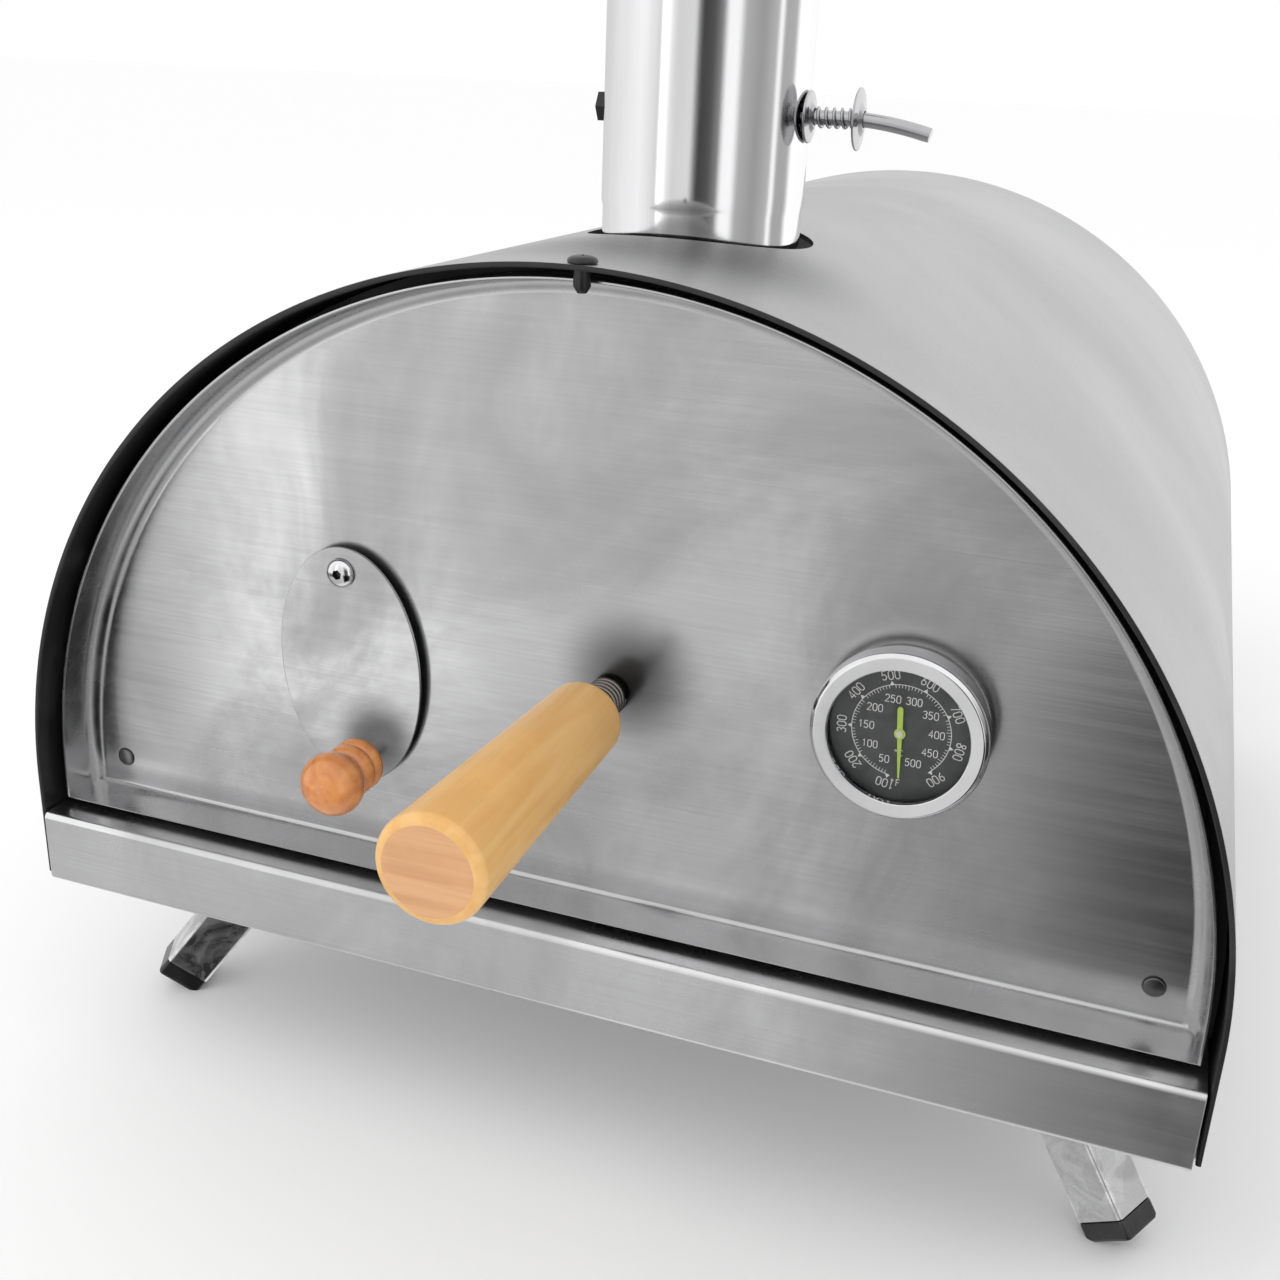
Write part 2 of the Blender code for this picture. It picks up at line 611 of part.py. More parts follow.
def build_hearth_contents():
    rack_z = HEARTH_TOP_Z + GAP
    rack_top = rack_z + RACK_HEIGHT
    rectangle_ring("stone_rack", "dark_iron", STONE_HALF, STONE_Y, STONE_Y + STONE_DEPTH, RACK_RAIL, rack_z, rack_top)
    stone_z = rack_top + GAP
    slab = box((-STONE_HALF, STONE_Y, stone_z), (STONE_HALF, STONE_Y + STONE_DEPTH, stone_z + STONE_THICKNESS))
    stone = add_object("pizza_stone", slab, "stone")
    round_edges(stone, 0.002)

    basket_end = BASKET_Y + BASKET_DEPTH
    basket_top = rack_z + BASKET_HEIGHT
    basket = add_object("fire_basket", box((-STONE_HALF, BASKET_Y, rack_z), (STONE_HALF, basket_end, basket_top)),
                        "dark_iron", smooth=False)
    well = box((-STONE_HALF + SHEET, BASKET_Y + SHEET, rack_z + SHEET),
               (STONE_HALF - SHEET, basket_end - SHEET, basket_top + CUT_PAST))
    boolean(basket, add_cutter("basket_well", well))
    slots = bmesh.new()
    pitch = 2 * STONE_HALF / BASKET_SLOTS
    for i in range(BASKET_SLOTS):
        x = (i - (BASKET_SLOTS - 1) / 2) * pitch
        box((x - SLOT_WIDTH / 2, BASKET_Y - CUT_PAST, rack_z + SLOT_RISE),
            (x + SLOT_WIDTH / 2, basket_end + CUT_PAST, rack_z + SLOT_RISE + SLOT_HEIGHT), slots)
    boolean(basket, add_cutter("basket_slots", slots))


def round_edges(obj, width):
    modifier = obj.modifiers.new("rounded_edges", "BEVEL")
    modifier.width = width
    modifier.segments = 2


# ---------------------------------------------------------------- door
def door_bore(name, radius, x, z, y_start=None, y_end=None):
    """A round cutter along Y through the door's face."""
    start = FACE_Y - 0.010 if y_start is None else y_start
    end = FACE_BACK_Y + 0.010 if y_end is None else y_end
    return add_cutter(name, turned(rod_profile(radius, start, end), 24, axis_y(x, SPRING_Z + z)))


def vent_centre():
    """Centre of the vent cover as it hangs, under its pivot and a little to one side."""
    return (VENT_PIVOT_X + VENT_PIVOT_TO_CENTRE * math.sin(VENT_TILT),
            VENT_PIVOT_Z - VENT_PIVOT_TO_CENTRE * math.cos(VENT_TILT))


def vent_oval(inset, y_start, y_end):
    """The vent's opening, which sits below the pivot screw."""
    centre_x, centre_z = vent_centre()
    outline = ellipse_outline(VENT_HALF_WIDTH - inset, VENT_HALF_HEIGHT - inset - VENT_HOLE_DROP)
    middle_z = SPRING_Z + centre_z - VENT_HOLE_DROP
    return prism([(centre_x + u, middle_z + v) for u, v in outline], along_y, y_start, y_end)


def rivet_places():
    x = DOOR_HALF - RIVET_INSET_X
    return (("left", -x), ("right", x))


PANEL_FRONT_Y = FACE_BACK_Y + GAP
PANEL_REAR_Y = PANEL_FRONT_Y + DOOR_PANEL_DEPTH
RIVET_Z = DOOR_BOTTOM_Z - SPRING_Z + RIVET_RISE
HANDLE_ROOT_Y = FACE_Y - HANDLE_STANDOFF
HANDLE_TIP_Y = HANDLE_ROOT_Y - HANDLE_LENGTH


def build_door():
    sheet = arch_pan(DOOR_HALF, DOOR_CROWN, DOOR_BOTTOM_Z - SPRING_Z, DOOR_FRONT_Y, FACE_BACK_Y, DOOR_SHEET)
    pan = add_object("door_pan", sheet, "brushed_steel")
    opening = vent_oval(VENT_HOLE_INSET, FACE_Y - CUT_PAST, FACE_BACK_Y + CUT_PAST)
    boolean(pan, add_cutter("vent_opening", opening))
    boolean(pan, door_bore("vent_screw_hole", SCREW_RADIUS + GAP, VENT_PIVOT_X, VENT_PIVOT_Z))
    boolean(pan, door_bore("handle_hole", HANDLE_STUD_RADIUS + GAP, HANDLE_X, HANDLE_Z))
    boolean(pan, door_bore("thermometer_hole", THERMO_STEM_RADIUS + GAP, THERMO_X, THERMO_Z))
    for side, x in rivet_places():
        boolean(pan, door_bore("rivet_hole_" + side, RIVET_SHANK_RADIUS + GAP, x, RIVET_Z))

    panel_half = DOOR_HALF - DOOR_PANEL_INSET
    panel_crown = DOOR_CROWN - DOOR_PANEL_INSET
    sheet = arch_pan(panel_half, panel_crown, DOOR_BOTTOM_Z + PANEL_RISE - SPRING_Z, PANEL_FRONT_Y, PANEL_REAR_Y,
                     DOOR_SHEET)
    panel = add_object("door_inner_panel", sheet, "dark_iron")
    through = (PANEL_REAR_Y - DOOR_PANEL_DEPTH / 2, PANEL_REAR_Y + CUT_PAST)
    boolean(panel, add_cutter("panel_vent_opening", vent_oval(VENT_HOLE_INSET, *through)))
    boolean(panel, door_bore("panel_stem_hole", THERMO_STEM_RADIUS + GAP, THERMO_X, THERMO_Z, *through))

    shank_end = FACE_BACK_Y + RIVET_TAIL
    for side, x in rivet_places():
        seat = FACE_Y - GAP / 2
        top = seat - RIVET_HEAD_HEIGHT
        profile = [(0.0, top), (RIVET_HEAD_RADIUS - RIVET_EDGE, top), (RIVET_HEAD_RADIUS, top + RIVET_EDGE),
                   (RIVET_HEAD_RADIUS, seat), (RIVET_SHANK_RADIUS, seat), (RIVET_SHANK_RADIUS, shank_end),
                   (0.0, shank_end)]
        add_object("door_rivet_" + side, turned(profile, 18, axis_y(x, SPRING_Z + RIVET_Z)), "brushed_steel")


def build_handle():
    z = SPRING_Z + HANDLE_Z
    wood_profile = [(0.0, HANDLE_TIP_Y)]
    corners = 3
    for i in range(corners + 1):
        angle = math.pi / 2 * i / corners
        wood_profile.append((HANDLE_TIP_RADIUS - HANDLE_TIP_ROUND * (1 - math.sin(angle)),
                             HANDLE_TIP_Y + HANDLE_TIP_ROUND * (1 - math.cos(angle))))
    for i in range(corners + 1):
        angle = math.pi / 2 * i / corners
        wood_profile.append((HANDLE_ROOT_RADIUS - HANDLE_ROOT_ROUND * (1 - math.cos(angle)),
                             HANDLE_ROOT_Y - HANDLE_ROOT_ROUND * (1 - math.sin(angle))))
    bore = HANDLE_STUD_RADIUS + GAP
    bore_end = HANDLE_ROOT_Y - HANDLE_STUD_IN_WOOD - GAP
    wood_profile += [(bore, HANDLE_ROOT_Y), (bore, bore_end), (0.0, bore_end)]
    add_object("door_handle", turned(wood_profile, 32, axis_y(HANDLE_X, z)), "handle_wood")

    start, end = HANDLE_ROOT_Y + GAP, FACE_Y - GAP
    bore = HANDLE_STUD_RADIUS + GAP
    profile = [(bore, end), (bore, start)]
    pitch = (end - start) / COLLAR_RINGS
    for i in range(COLLAR_RINGS):
        low = start + i * pitch
        profile += [(COLLAR_RADIUS - COLLAR_GROOVE, low), (COLLAR_RADIUS, low + pitch * 0.3),
                    (COLLAR_RADIUS, low + pitch * 0.7)]
    profile.append((COLLAR_RADIUS - COLLAR_GROOVE, end))
    add_object("handle_collar", turned(profile, 18, axis_y(HANDLE_X, z)), "chrome")

    nut_start = FACE_BACK_Y + GAP
    stud = rod_profile(HANDLE_STUD_RADIUS, HANDLE_ROOT_Y - HANDLE_STUD_IN_WOOD,
                       nut_start + HANDLE_NUT_HEIGHT + THREAD_PAST_NUT)
    add_object("handle_stud", turned(stud, 20, axis_y(HANDLE_X, z)), "galvanised")
    add_hex_nut("handle_nut", HANDLE_NUT_FLATS, HANDLE_STUD_RADIUS, nut_start, HANDLE_NUT_HEIGHT, HANDLE_X, z)


def hex_nut(across_flats, bore, start, end, place):
    """A plain hexagonal nut with a bore of twelve sides. place(u, v, t) gives the world point."""
    bm = bmesh.new()
    outer_corners = hexagon(across_flats)
    outer = []
    for a, b in zip(outer_corners, outer_corners[1:] + outer_corners[:1]):
        outer += [a, ((a[0] + b[0]) / 2, (a[1] + b[1]) / 2)]
    inner = [(bore * math.cos(math.pi * i / 6), bore * math.sin(math.pi * i / 6)) for i in range(12)]
    rings = [[bm.verts.new(place(u, v, t)) for u, v in outline]
             for outline, t in ((outer, start), (outer, end), (inner, end), (inner, start))]
    for ring_a, ring_b in zip(rings, rings[1:] + rings[:1]):
        bridge(bm, ring_a, ring_b)
    return bm


def add_hex_nut(name, across_flats, thread, start, height, x, z):
    """A nut behind the door, on a thread that runs along Y through (x, z)."""
    bm = hex_nut(across_flats, thread + GAP, start, start + height, lambda u, v, t: (x + u, t, z + v))
    add_object(name, bm, "galvanised", smooth=False)


# ---------------------------------------------------------------- vent cover
COVER_BACK_Y = FACE_Y - VENT_STANDOFF
COVER_FRONT_Y = COVER_BACK_Y - VENT_SHEET


def build_vent():
    pivot_z = SPRING_Z + VENT_PIVOT_Z
    pivot = add_empty("vent_pivot", (VENT_PIVOT_X, COVER_FRONT_Y, pivot_z))
    centre_x, centre_z = vent_centre()
    cos_tilt, sin_tilt = math.cos(VENT_TILT), math.sin(VENT_TILT)
    outline = [(centre_x + u * cos_tilt - v * sin_tilt, SPRING_Z + centre_z + u * sin_tilt + v * cos_tilt)
               for u, v in ellipse_outline(VENT_HALF_WIDTH, VENT_HALF_HEIGHT)]
    cover = add_object("vent_cover", prism(outline, along_y, COVER_FRONT_Y, COVER_BACK_Y), "brushed_steel", pivot)

    knob_x = VENT_PIVOT_X + KNOB_FROM_PIVOT * sin_tilt + KNOB_SIDE * cos_tilt
    knob_z = pivot_z - KNOB_FROM_PIVOT * cos_tilt + KNOB_SIDE * sin_tilt
    hole_y = (COVER_FRONT_Y - CUT_PAST, COVER_BACK_Y + CUT_PAST)
    boolean(cover, door_bore("cover_pivot_hole", SCREW_RADIUS + RUNNING_GAP, VENT_PIVOT_X, VENT_PIVOT_Z, *hole_y))
    boolean(cover, door_bore("cover_knob_hole", SCREW_RADIUS + GAP, knob_x, knob_z - SPRING_Z, *hole_y))

    head_y = COVER_FRONT_Y - GAP
    nut_y = FACE_BACK_Y + GAP
    end_y = nut_y + VENT_NUT_HEIGHT + THREAD_PAST_NUT
    profile = button_head(SCREW_HEAD_RADIUS, SCREW_HEAD_HEIGHT, head_y)
    profile += [(SCREW_RADIUS, head_y), (SCREW_RADIUS, end_y), (0.0, end_y)]
    screw = add_object("vent_pivot_screw", turned(profile, 20, axis_y(VENT_PIVOT_X, pivot_z)), "chrome")
    socket = prism([(VENT_PIVOT_X + u, pivot_z + v) for u, v in hexagon(SOCKET_FLATS)], along_y,
                   head_y - SCREW_HEAD_HEIGHT - CUT_PAST, head_y - SCREW_HEAD_HEIGHT + SOCKET_DEPTH)
    boolean(screw, add_cutter("pivot_screw_socket", socket))
    washer = ring_profile(SCREW_RADIUS + GAP, SPACER_RADIUS, COVER_BACK_Y + GAP, FACE_Y - GAP)
    add_object("vent_spacer", turned(washer, 20, axis_y(VENT_PIVOT_X, pivot_z)), "galvanised")
    add_hex_nut("vent_pivot_nut", VENT_NUT_FLATS, SCREW_RADIUS, nut_y, VENT_NUT_HEIGHT, VENT_PIVOT_X, pivot_z)

    base_y = COVER_FRONT_Y - KNOB_STANDOFF
    add_object("vent_knob", turned(knob_profile(base_y), 24, axis_y(knob_x, knob_z)), "knob_wood", pivot)
    head_front = COVER_BACK_Y + GAP
    head_back = head_front + KNOB_SCREW_HEAD
    flange_front, flange_back = base_y + GAP, COVER_FRONT_Y - GAP
    flange = SCREW_RADIUS + KNOB_SCREW_FLANGE
    tip = base_y - KNOB_SCREW_IN
    profile = [(0.0, tip), (SCREW_RADIUS, tip), (SCREW_RADIUS, flange_front), (flange, flange_front),
               (flange, flange_back), (SCREW_RADIUS, flange_back), (SCREW_RADIUS, head_front),
               (flange, head_front), (flange, head_back), (0.0, head_back)]
    add_object("vent_knob_screw", turned(profile, 16, axis_y(knob_x, knob_z)), "galvanised", pivot)


def button_head(radius, height, seat, steps=5):
    """Profile of a domed screw head from its top to the edge of its seat."""
    return [(radius * math.sin(math.pi / 2 * i / steps), seat - height * math.cos(math.pi / 2 * i / steps))
            for i in range(steps + 1)]


def knob_profile(base_y):
    """A ball on a double-bead collar, with a blind bore for its screw, from the front of the ball back."""
    profile = []
    ball_centre = base_y - KNOB_BALL_CENTRE
    ball_steps = 8
    for i in range(ball_steps + 1):
        angle = math.pi * 0.80 * i / ball_steps
        profile.append((KNOB_BALL_RADIUS * math.sin(angle), ball_centre - KNOB_BALL_DEPTH * math.cos(angle)))
    for start in (base_y - 2 * KNOB_BEAD, base_y - KNOB_BEAD):
        for share, swell in ((0.12, 0.88), (0.35, 1.0), (0.68, 1.0), (0.93, 0.86)):
            profile.append((KNOB_COLLAR_RADIUS * swell, start + KNOB_BEAD * share))
    bore = SCREW_RADIUS + GAP
    bore_end = base_y - KNOB_SCREW_IN - GAP
    return profile + [(KNOB_COLLAR_RADIUS * 0.80, base_y), (bore, base_y), (bore, bore_end), (0.0, bore_end)]


# ---------------------------------------------------------------- thermometer
BEZEL_Y = FACE_Y - THERMO_DEPTH
LENS_Y = BEZEL_Y + 0.0032
POINTER_Y = LENS_Y + 0.0026
DIAL_Y = POINTER_Y + 0.0018


def build_thermometer():
    z = SPRING_Z + THERMO_Z
    place = axis_y(THERMO_X, z)
    skirt_bore = THERMO_RADIUS - 0.0013
    profile = [(THERMO_WINDOW_RADIUS, LENS_Y - GAP), (THERMO_WINDOW_RADIUS, BEZEL_Y + 0.0016),
               (THERMO_WINDOW_RADIUS + 0.0012, BEZEL_Y + 0.0004), (THERMO_WINDOW_RADIUS + 0.0026, BEZEL_Y),
               (THERMO_RADIUS - 0.0022, BEZEL_Y), (THERMO_RADIUS - 0.0006, BEZEL_Y + 0.0007),
               (THERMO_RADIUS, BEZEL_Y + 0.0022), (THERMO_RADIUS, BEZEL_Y + THERMO_SKIRT),
               (skirt_bore, BEZEL_Y + THERMO_SKIRT), (skirt_bore, LENS_Y - GAP)]
    add_object("thermometer_bezel", turned(profile, DIAL_STEPS, place), "chrome")
    case_radius = skirt_bore - GAP
    case_back = FACE_Y - GAP
    hub = THERMO_STEM_RADIUS + GAP
    slope = 0.0030
    inner_slope = slope + THERMO_CASE_WALL * 0.6
    profile = [(case_radius - THERMO_CASE_WALL, LENS_Y), (case_radius, LENS_Y), (case_radius, case_back - slope),
               (case_radius - slope, case_back), (hub, case_back), (hub, case_back - THERMO_FLOOR),
               (case_radius - inner_slope, case_back - THERMO_FLOOR),
               (case_radius - THERMO_CASE_WALL, case_back - slope - 0.0008)]
    add_object("thermometer_case", turned(profile, DIAL_STEPS, place), "chrome")
    inside = case_radius - THERMO_CASE_WALL - GAP
    lens = rod_profile(inside, LENS_Y, LENS_Y + LENS_THICKNESS)
    add_object("thermometer_lens", turned(lens, DIAL_STEPS, place), "lens_glass")
    dial = ring_profile(POINTER_PIN_RADIUS + RUNNING_GAP, inside, DIAL_Y, DIAL_Y + DIAL_THICKNESS)
    add_object("thermometer_dial", turned(dial, DIAL_STEPS, place), "dial_black")
    stem_start = DIAL_Y + DIAL_THICKNESS + GAP + POINTER_PIN_HEAD
    stem = rod_profile(THERMO_STEM_RADIUS, stem_start, FACE_BACK_Y + THERMO_STEM_LENGTH)
    add_object("thermometer_stem", turned(stem, 20, place), "galvanised")
    nut_y = FACE_BACK_Y + GAP
    add_hex_nut("thermometer_nut", THERMO_NUT_FLATS, THERMO_STEM_RADIUS, nut_y, THERMO_NUT_HEIGHT, THERMO_X, z)
    build_pointer(z, stem_start)


def build_pointer(z, stem_start):
    """A thin needle that points down, a wide tail above the hub, and the pin that carries them."""
    pivot = add_empty("pointer_pivot", (THERMO_X, POINTER_Y, z))
    thin, wide, hub = POINTER_THIN, POINTER_WIDE, POINTER_HUB
    outline = [(-thin, -POINTER_LENGTH), (thin, -POINTER_LENGTH), (thin * 2.4, -hub)]
    arc = 8
    for i in range(1, arc):
        angle = -math.pi / 2 + 0.45 + (math.pi - 0.90) * i / arc
        outline.append((hub * math.cos(angle), hub * math.sin(angle)))
    outline += [(wide, hub), (wide, POINTER_TAIL - wide), (0.0, POINTER_TAIL), (-wide, POINTER_TAIL - wide),
                (-wide, hub)]
    for i in range(1, arc):
        angle = math.pi / 2 + 0.45 + (math.pi - 0.90) * i / arc
        outline.append((hub * math.cos(angle), hub * math.sin(angle)))
    outline.append((-thin * 2.4, -hub))
    blade = prism([(THERMO_X + u, z + v) for u, v in outline], along_y, POINTER_Y, POINTER_Y + NEEDLE_THICKNESS)
    pointer = add_object("thermometer_pointer", blade, "pointer_green", pivot, smooth=False)
    pin = rod_profile(POINTER_PIN_RADIUS, POINTER_Y - POINTER_PIN_HEAD, stem_start - GAP)
    boolean(pointer, add_cutter("pointer_pin", turned(pin, 16, axis_y(THERMO_X, z))), "UNION")


# ---------------------------------------------------------------- catch screw
def build_catch():
    seat = CROWN_Z + GAP
    end = CROWN_Z - SHELL_SHEET - CATCH_HANG
    top = seat + CATCH_HEAD_HEIGHT
    radius = CATCH_HEAD_RADIUS
    tip = 0.0012
    profile = [(0.0, top), (radius - 0.0016, top), (radius, seat + CATCH_HEAD_HEIGHT / 2), (radius, seat),
               (CATCH_RADIUS, seat), (CATCH_RADIUS, end + tip), (CATCH_RADIUS - tip, end), (0.0, end)]
    place = axis_z(CATCH_X, FRONT_Y + CATCH_BACK)
    screw = add_object("catch_screw", turned(profile, 18, place), "black_steel")
    x, y = CATCH_X, FRONT_Y + CATCH_BACK
    half_slot = CATCH_SLOT_WIDTH / 2
    slot = box((x - CATCH_SLOT_HALF, y - half_slot, top - CATCH_SLOT_DEPTH),
               (x + CATCH_SLOT_HALF, y + half_slot, top + CATCH_HEAD_HEIGHT))
    boolean(screw, add_cutter("catch_slot", slot))


# ---------------------------------------------------------------- chimney and damper
def build_chimney():
    inner = CHIMNEY_RADIUS - CHIMNEY_WALL
    tube = add_object("chimney_tube", turned(ring_profile(inner, CHIMNEY_RADIUS, TUBE_LOW_Z, CHIMNEY_TOP_Z),
                                             CHIMNEY_STEPS, axis_z(0.0, CHIMNEY_Y)), "polished_steel")
    bore = turned(rod_profile(AXLE_RADIUS + RUNNING_GAP, -2 * CHIMNEY_RADIUS, 2 * CHIMNEY_RADIUS), 16,
                  axis_x(CHIMNEY_Y, DAMPER_Z))
    boolean(tube, add_cutter("axle_bore", bore))

    flange_radius = CHIMNEY_RADIUS + COLLAR_FLANGE
    outside = GAP + SHEET
    saddle = arch_strip(LINER_HALF + outside, LINER_CROWN + outside, 0.0, SHEET, CHIMNEY_Y - 2 * flange_radius,
                        CHIMNEY_Y + 2 * flange_radius)
    collar = add_object("chimney_collar", saddle, "galvanised")
    inside_z = SPRING_Z + LINER_CROWN / 2
    boolean(collar, vertical_bore("collar_disc", flange_radius, 0.0, CHIMNEY_Y, inside_z, CROWN_Z), "INTERSECT")
    neck = saddle_rod(CHIMNEY_RADIUS + GAP + SHEET, CROWN_Z - SHELL_SHEET - COLLAR_NECK_GAP)
    boolean(collar, add_cutter("collar_neck", neck), "UNION")
    boolean(collar, vertical_bore("collar_bore", CHIMNEY_RADIUS + GAP, 0.0, CHIMNEY_Y, SPRING_Z, CROWN_Z))


def saddle_rod(radius, top):
    """An upright rod whose lower end follows the arch of the collar's flange."""
    half = LINER_HALF + GAP + SHEET / 2
    crown = LINER_CROWN + GAP + SHEET / 2
    bm = bmesh.new()
    lower, upper = [], []
    for i in range(CHIMNEY_STEPS):
        angle = 2 * math.pi * i / CHIMNEY_STEPS
        x, y = radius * math.cos(angle), CHIMNEY_Y + radius * math.sin(angle)
        lower.append(bm.verts.new((x, y, SPRING_Z + crown * math.sqrt(1 - (x / half) ** 2))))
        upper.append(bm.verts.new((x, y, top)))
    bridge(bm, lower, upper)
    bm.faces.new(upper)
    middle = bm.verts.new((0.0, CHIMNEY_Y, SPRING_Z + crown * math.sqrt(1 - (radius / half) ** 2)))
    for i in range(CHIMNEY_STEPS):
        bm.faces.new((lower[i], lower[(i + 1) % CHIMNEY_STEPS], middle))
    return bm


def build_cap():
    """A conical rain hat on three struts, whose ring slips inside the top of the tube."""
    ring_outer = CHIMNEY_RADIUS - CHIMNEY_WALL - GAP
    cone_z = CHIMNEY_TOP_Z + CAP_RISE
    cap_place = add_empty("cap_place", (0.0, CHIMNEY_Y, CHIMNEY_TOP_Z))
    profile = [(0.0, cone_z + CAP_CONE_HEIGHT), (CAP_RADIUS, cone_z), (CAP_RADIUS, cone_z - CAP_RIM),
               (CAP_RADIUS - SHEET, cone_z - CAP_RIM), (CAP_RADIUS - SHEET, cone_z - SHEET * 0.5),
               (0.0, cone_z + CAP_CONE_HEIGHT - SHEET * 1.2)]
    cap = add_object("chimney_cap", turned(list(reversed(profile)), CHIMNEY_STEPS, axis_z(0.0, CHIMNEY_Y)),
                     "polished_steel", cap_place)
    ring = ring_profile(ring_outer - SHEET, ring_outer, CHIMNEY_TOP_Z - CAP_RING_IN, CHIMNEY_TOP_Z + CAP_RING_OUT)
    boolean(cap, add_cutter("cap_ring", turned(ring, CHIMNEY_STEPS, axis_z(0.0, CHIMNEY_Y))), "UNION")
    strut_top = cone_z + CAP_CONE_HEIGHT * (1 - ring_outer / CAP_RADIUS) - SHEET * 0.4
    for i in range(3):
        angle = math.pi / 2 + 2 * math.pi * i / 3
        strut_outer = ring_outer - 0.0002
        strut = box((strut_outer - CAP_STRUT_THICKNESS, -CAP_STRUT_WIDTH / 2, CHIMNEY_TOP_Z - CAP_STRUT_START),
                    (strut_outer, CAP_STRUT_WIDTH / 2, strut_top))
        strut.transform(Matrix.Translation((0.0, CHIMNEY_Y, 0.0)) @ Matrix.Rotation(angle, 4, "Z"))
        boolean(cap, add_cutter("cap_strut_%d" % (i + 1), strut), "UNION")


def build_damper():
    pivot = add_empty("damper_pivot", (0.0, CHIMNEY_Y, DAMPER_Z))
    plate_radius = CHIMNEY_RADIUS - CHIMNEY_WALL - DAMPER_GAP
    plate_half = DAMPER_SHEET / 2
    offset = AXLE_RADIUS + GAP + plate_half
    profile = rod_profile(plate_radius, CHIMNEY_Y + offset - plate_half, CHIMNEY_Y + offset + plate_half)
    add_object("damper_plate", turned(profile, CHIMNEY_STEPS, axis_y(0.0, DAMPER_Z)), "galvanised", pivot)

    side = CHIMNEY_RADIUS + GAP
    place = axis_x(CHIMNEY_Y, DAMPER_Z)
    nut = hex_nut(DAMPER_NUT_FLATS, AXLE_RADIUS + GAP, -side - DAMPER_NUT_HEIGHT, -side, along_axle)
    add_object("damper_end_nut", nut, "black_steel", pivot, smooth=False)
    inner_washer = domed_washer(side, INNER_WASHER_RADIUS)
    add_object("damper_washer_inner", turned(inner_washer, 20, place), "chrome", pivot)
    spring_start = side + WASHER_HEIGHT + GAP
    spring_end = spring_start + SPRING_LENGTH
    outer_washer = domed_washer(spring_end + GAP, OUTER_WASHER_RADIUS)
    add_object("damper_washer_outer", turned(outer_washer, 20, place), "chrome", pivot)
    build_spring(spring_start, spring_end, pivot)
    build_axle(side, spring_end + AXLE_STRAIGHT, pivot)


def along_axle(u, v, t):
    return (t, CHIMNEY_Y + u, DAMPER_Z + v)


def domed_washer(start, radius):
    """A dished washer, hollow side towards the tube."""
    bore = AXLE_RADIUS + GAP
    return [(bore, start + 0.0018), (radius * 0.55, start + 0.0006), (radius - 0.0006, start),
            (radius, start + 0.0008), (radius * 0.60, start + 0.0016),
            (bore + 0.0016, start + WASHER_HEIGHT), (bore, start + WASHER_HEIGHT)]


def build_spring(start, end, pivot):
    """The coil spring, simplified to rings of its outer size on a thin sleeve."""
    wire = SPRING_WIRE
    outer = SPRING_RADIUS - wire
    bore = AXLE_RADIUS + GAP
    sleeve = bore + SPRING_SLEEVE
    pitch = (end - start) / SPRING_RINGS
    profile = [(bore, end), (bore, start), (sleeve, start)]
    for i in range(SPRING_RINGS):
        middle = start + (i + 0.5) * pitch
        profile += [(sleeve, middle - 2 * wire), (outer, middle - wire), (outer, middle + wire),
                    (sleeve, middle + 2 * wire)]
    profile.append((sleeve, end))
    add_object("damper_spring", turned(profile, 16, axis_x(CHIMNEY_Y, DAMPER_Z)), "chrome", pivot)


def build_axle(side, straight_end, pivot):
    """A rod through the tube whose outer end bends gently down to make a handle."""
    tip_x = side + AXLE_HANDLE_REACH
    steps = 8
    path = [Vector((-side - AXLE_STUB, CHIMNEY_Y, DAMPER_Z)), Vector((straight_end, CHIMNEY_Y, DAMPER_Z))]
    for i in range(1, steps + 1):
        share = i / steps
        x = straight_end + (tip_x - straight_end) * share
        path.append(Vector((x, CHIMNEY_Y, DAMPER_Z - AXLE_DROOP * share ** 2)))
    bm = bmesh.new()
    sides = 14
    rings = []
    for i, point in enumerate(path):
        ahead = path[min(i + 1, len(path) - 1)]
        behind = path[max(i - 1, 0)]
        direction = (ahead - behind).normalized() if i > 1 else Vector((1.0, 0.0, 0.0))
        up = Vector((0.0, 1.0, 0.0))
        across = direction.cross(up).normalized()
        rings.append([bm.verts.new(point + up * AXLE_RADIUS * math.cos(2 * math.pi * k / sides)
                                   + across * AXLE_RADIUS * math.sin(2 * math.pi * k / sides))
                      for k in range(sides)])
    for ring_a, ring_b in zip(rings, rings[1:]):
        bridge(bm, ring_a, ring_b)
    bm.faces.new(rings[0])
    bm.faces.new(rings[-1])
    add_object("damper_rod", bm, "galvanised", pivot)


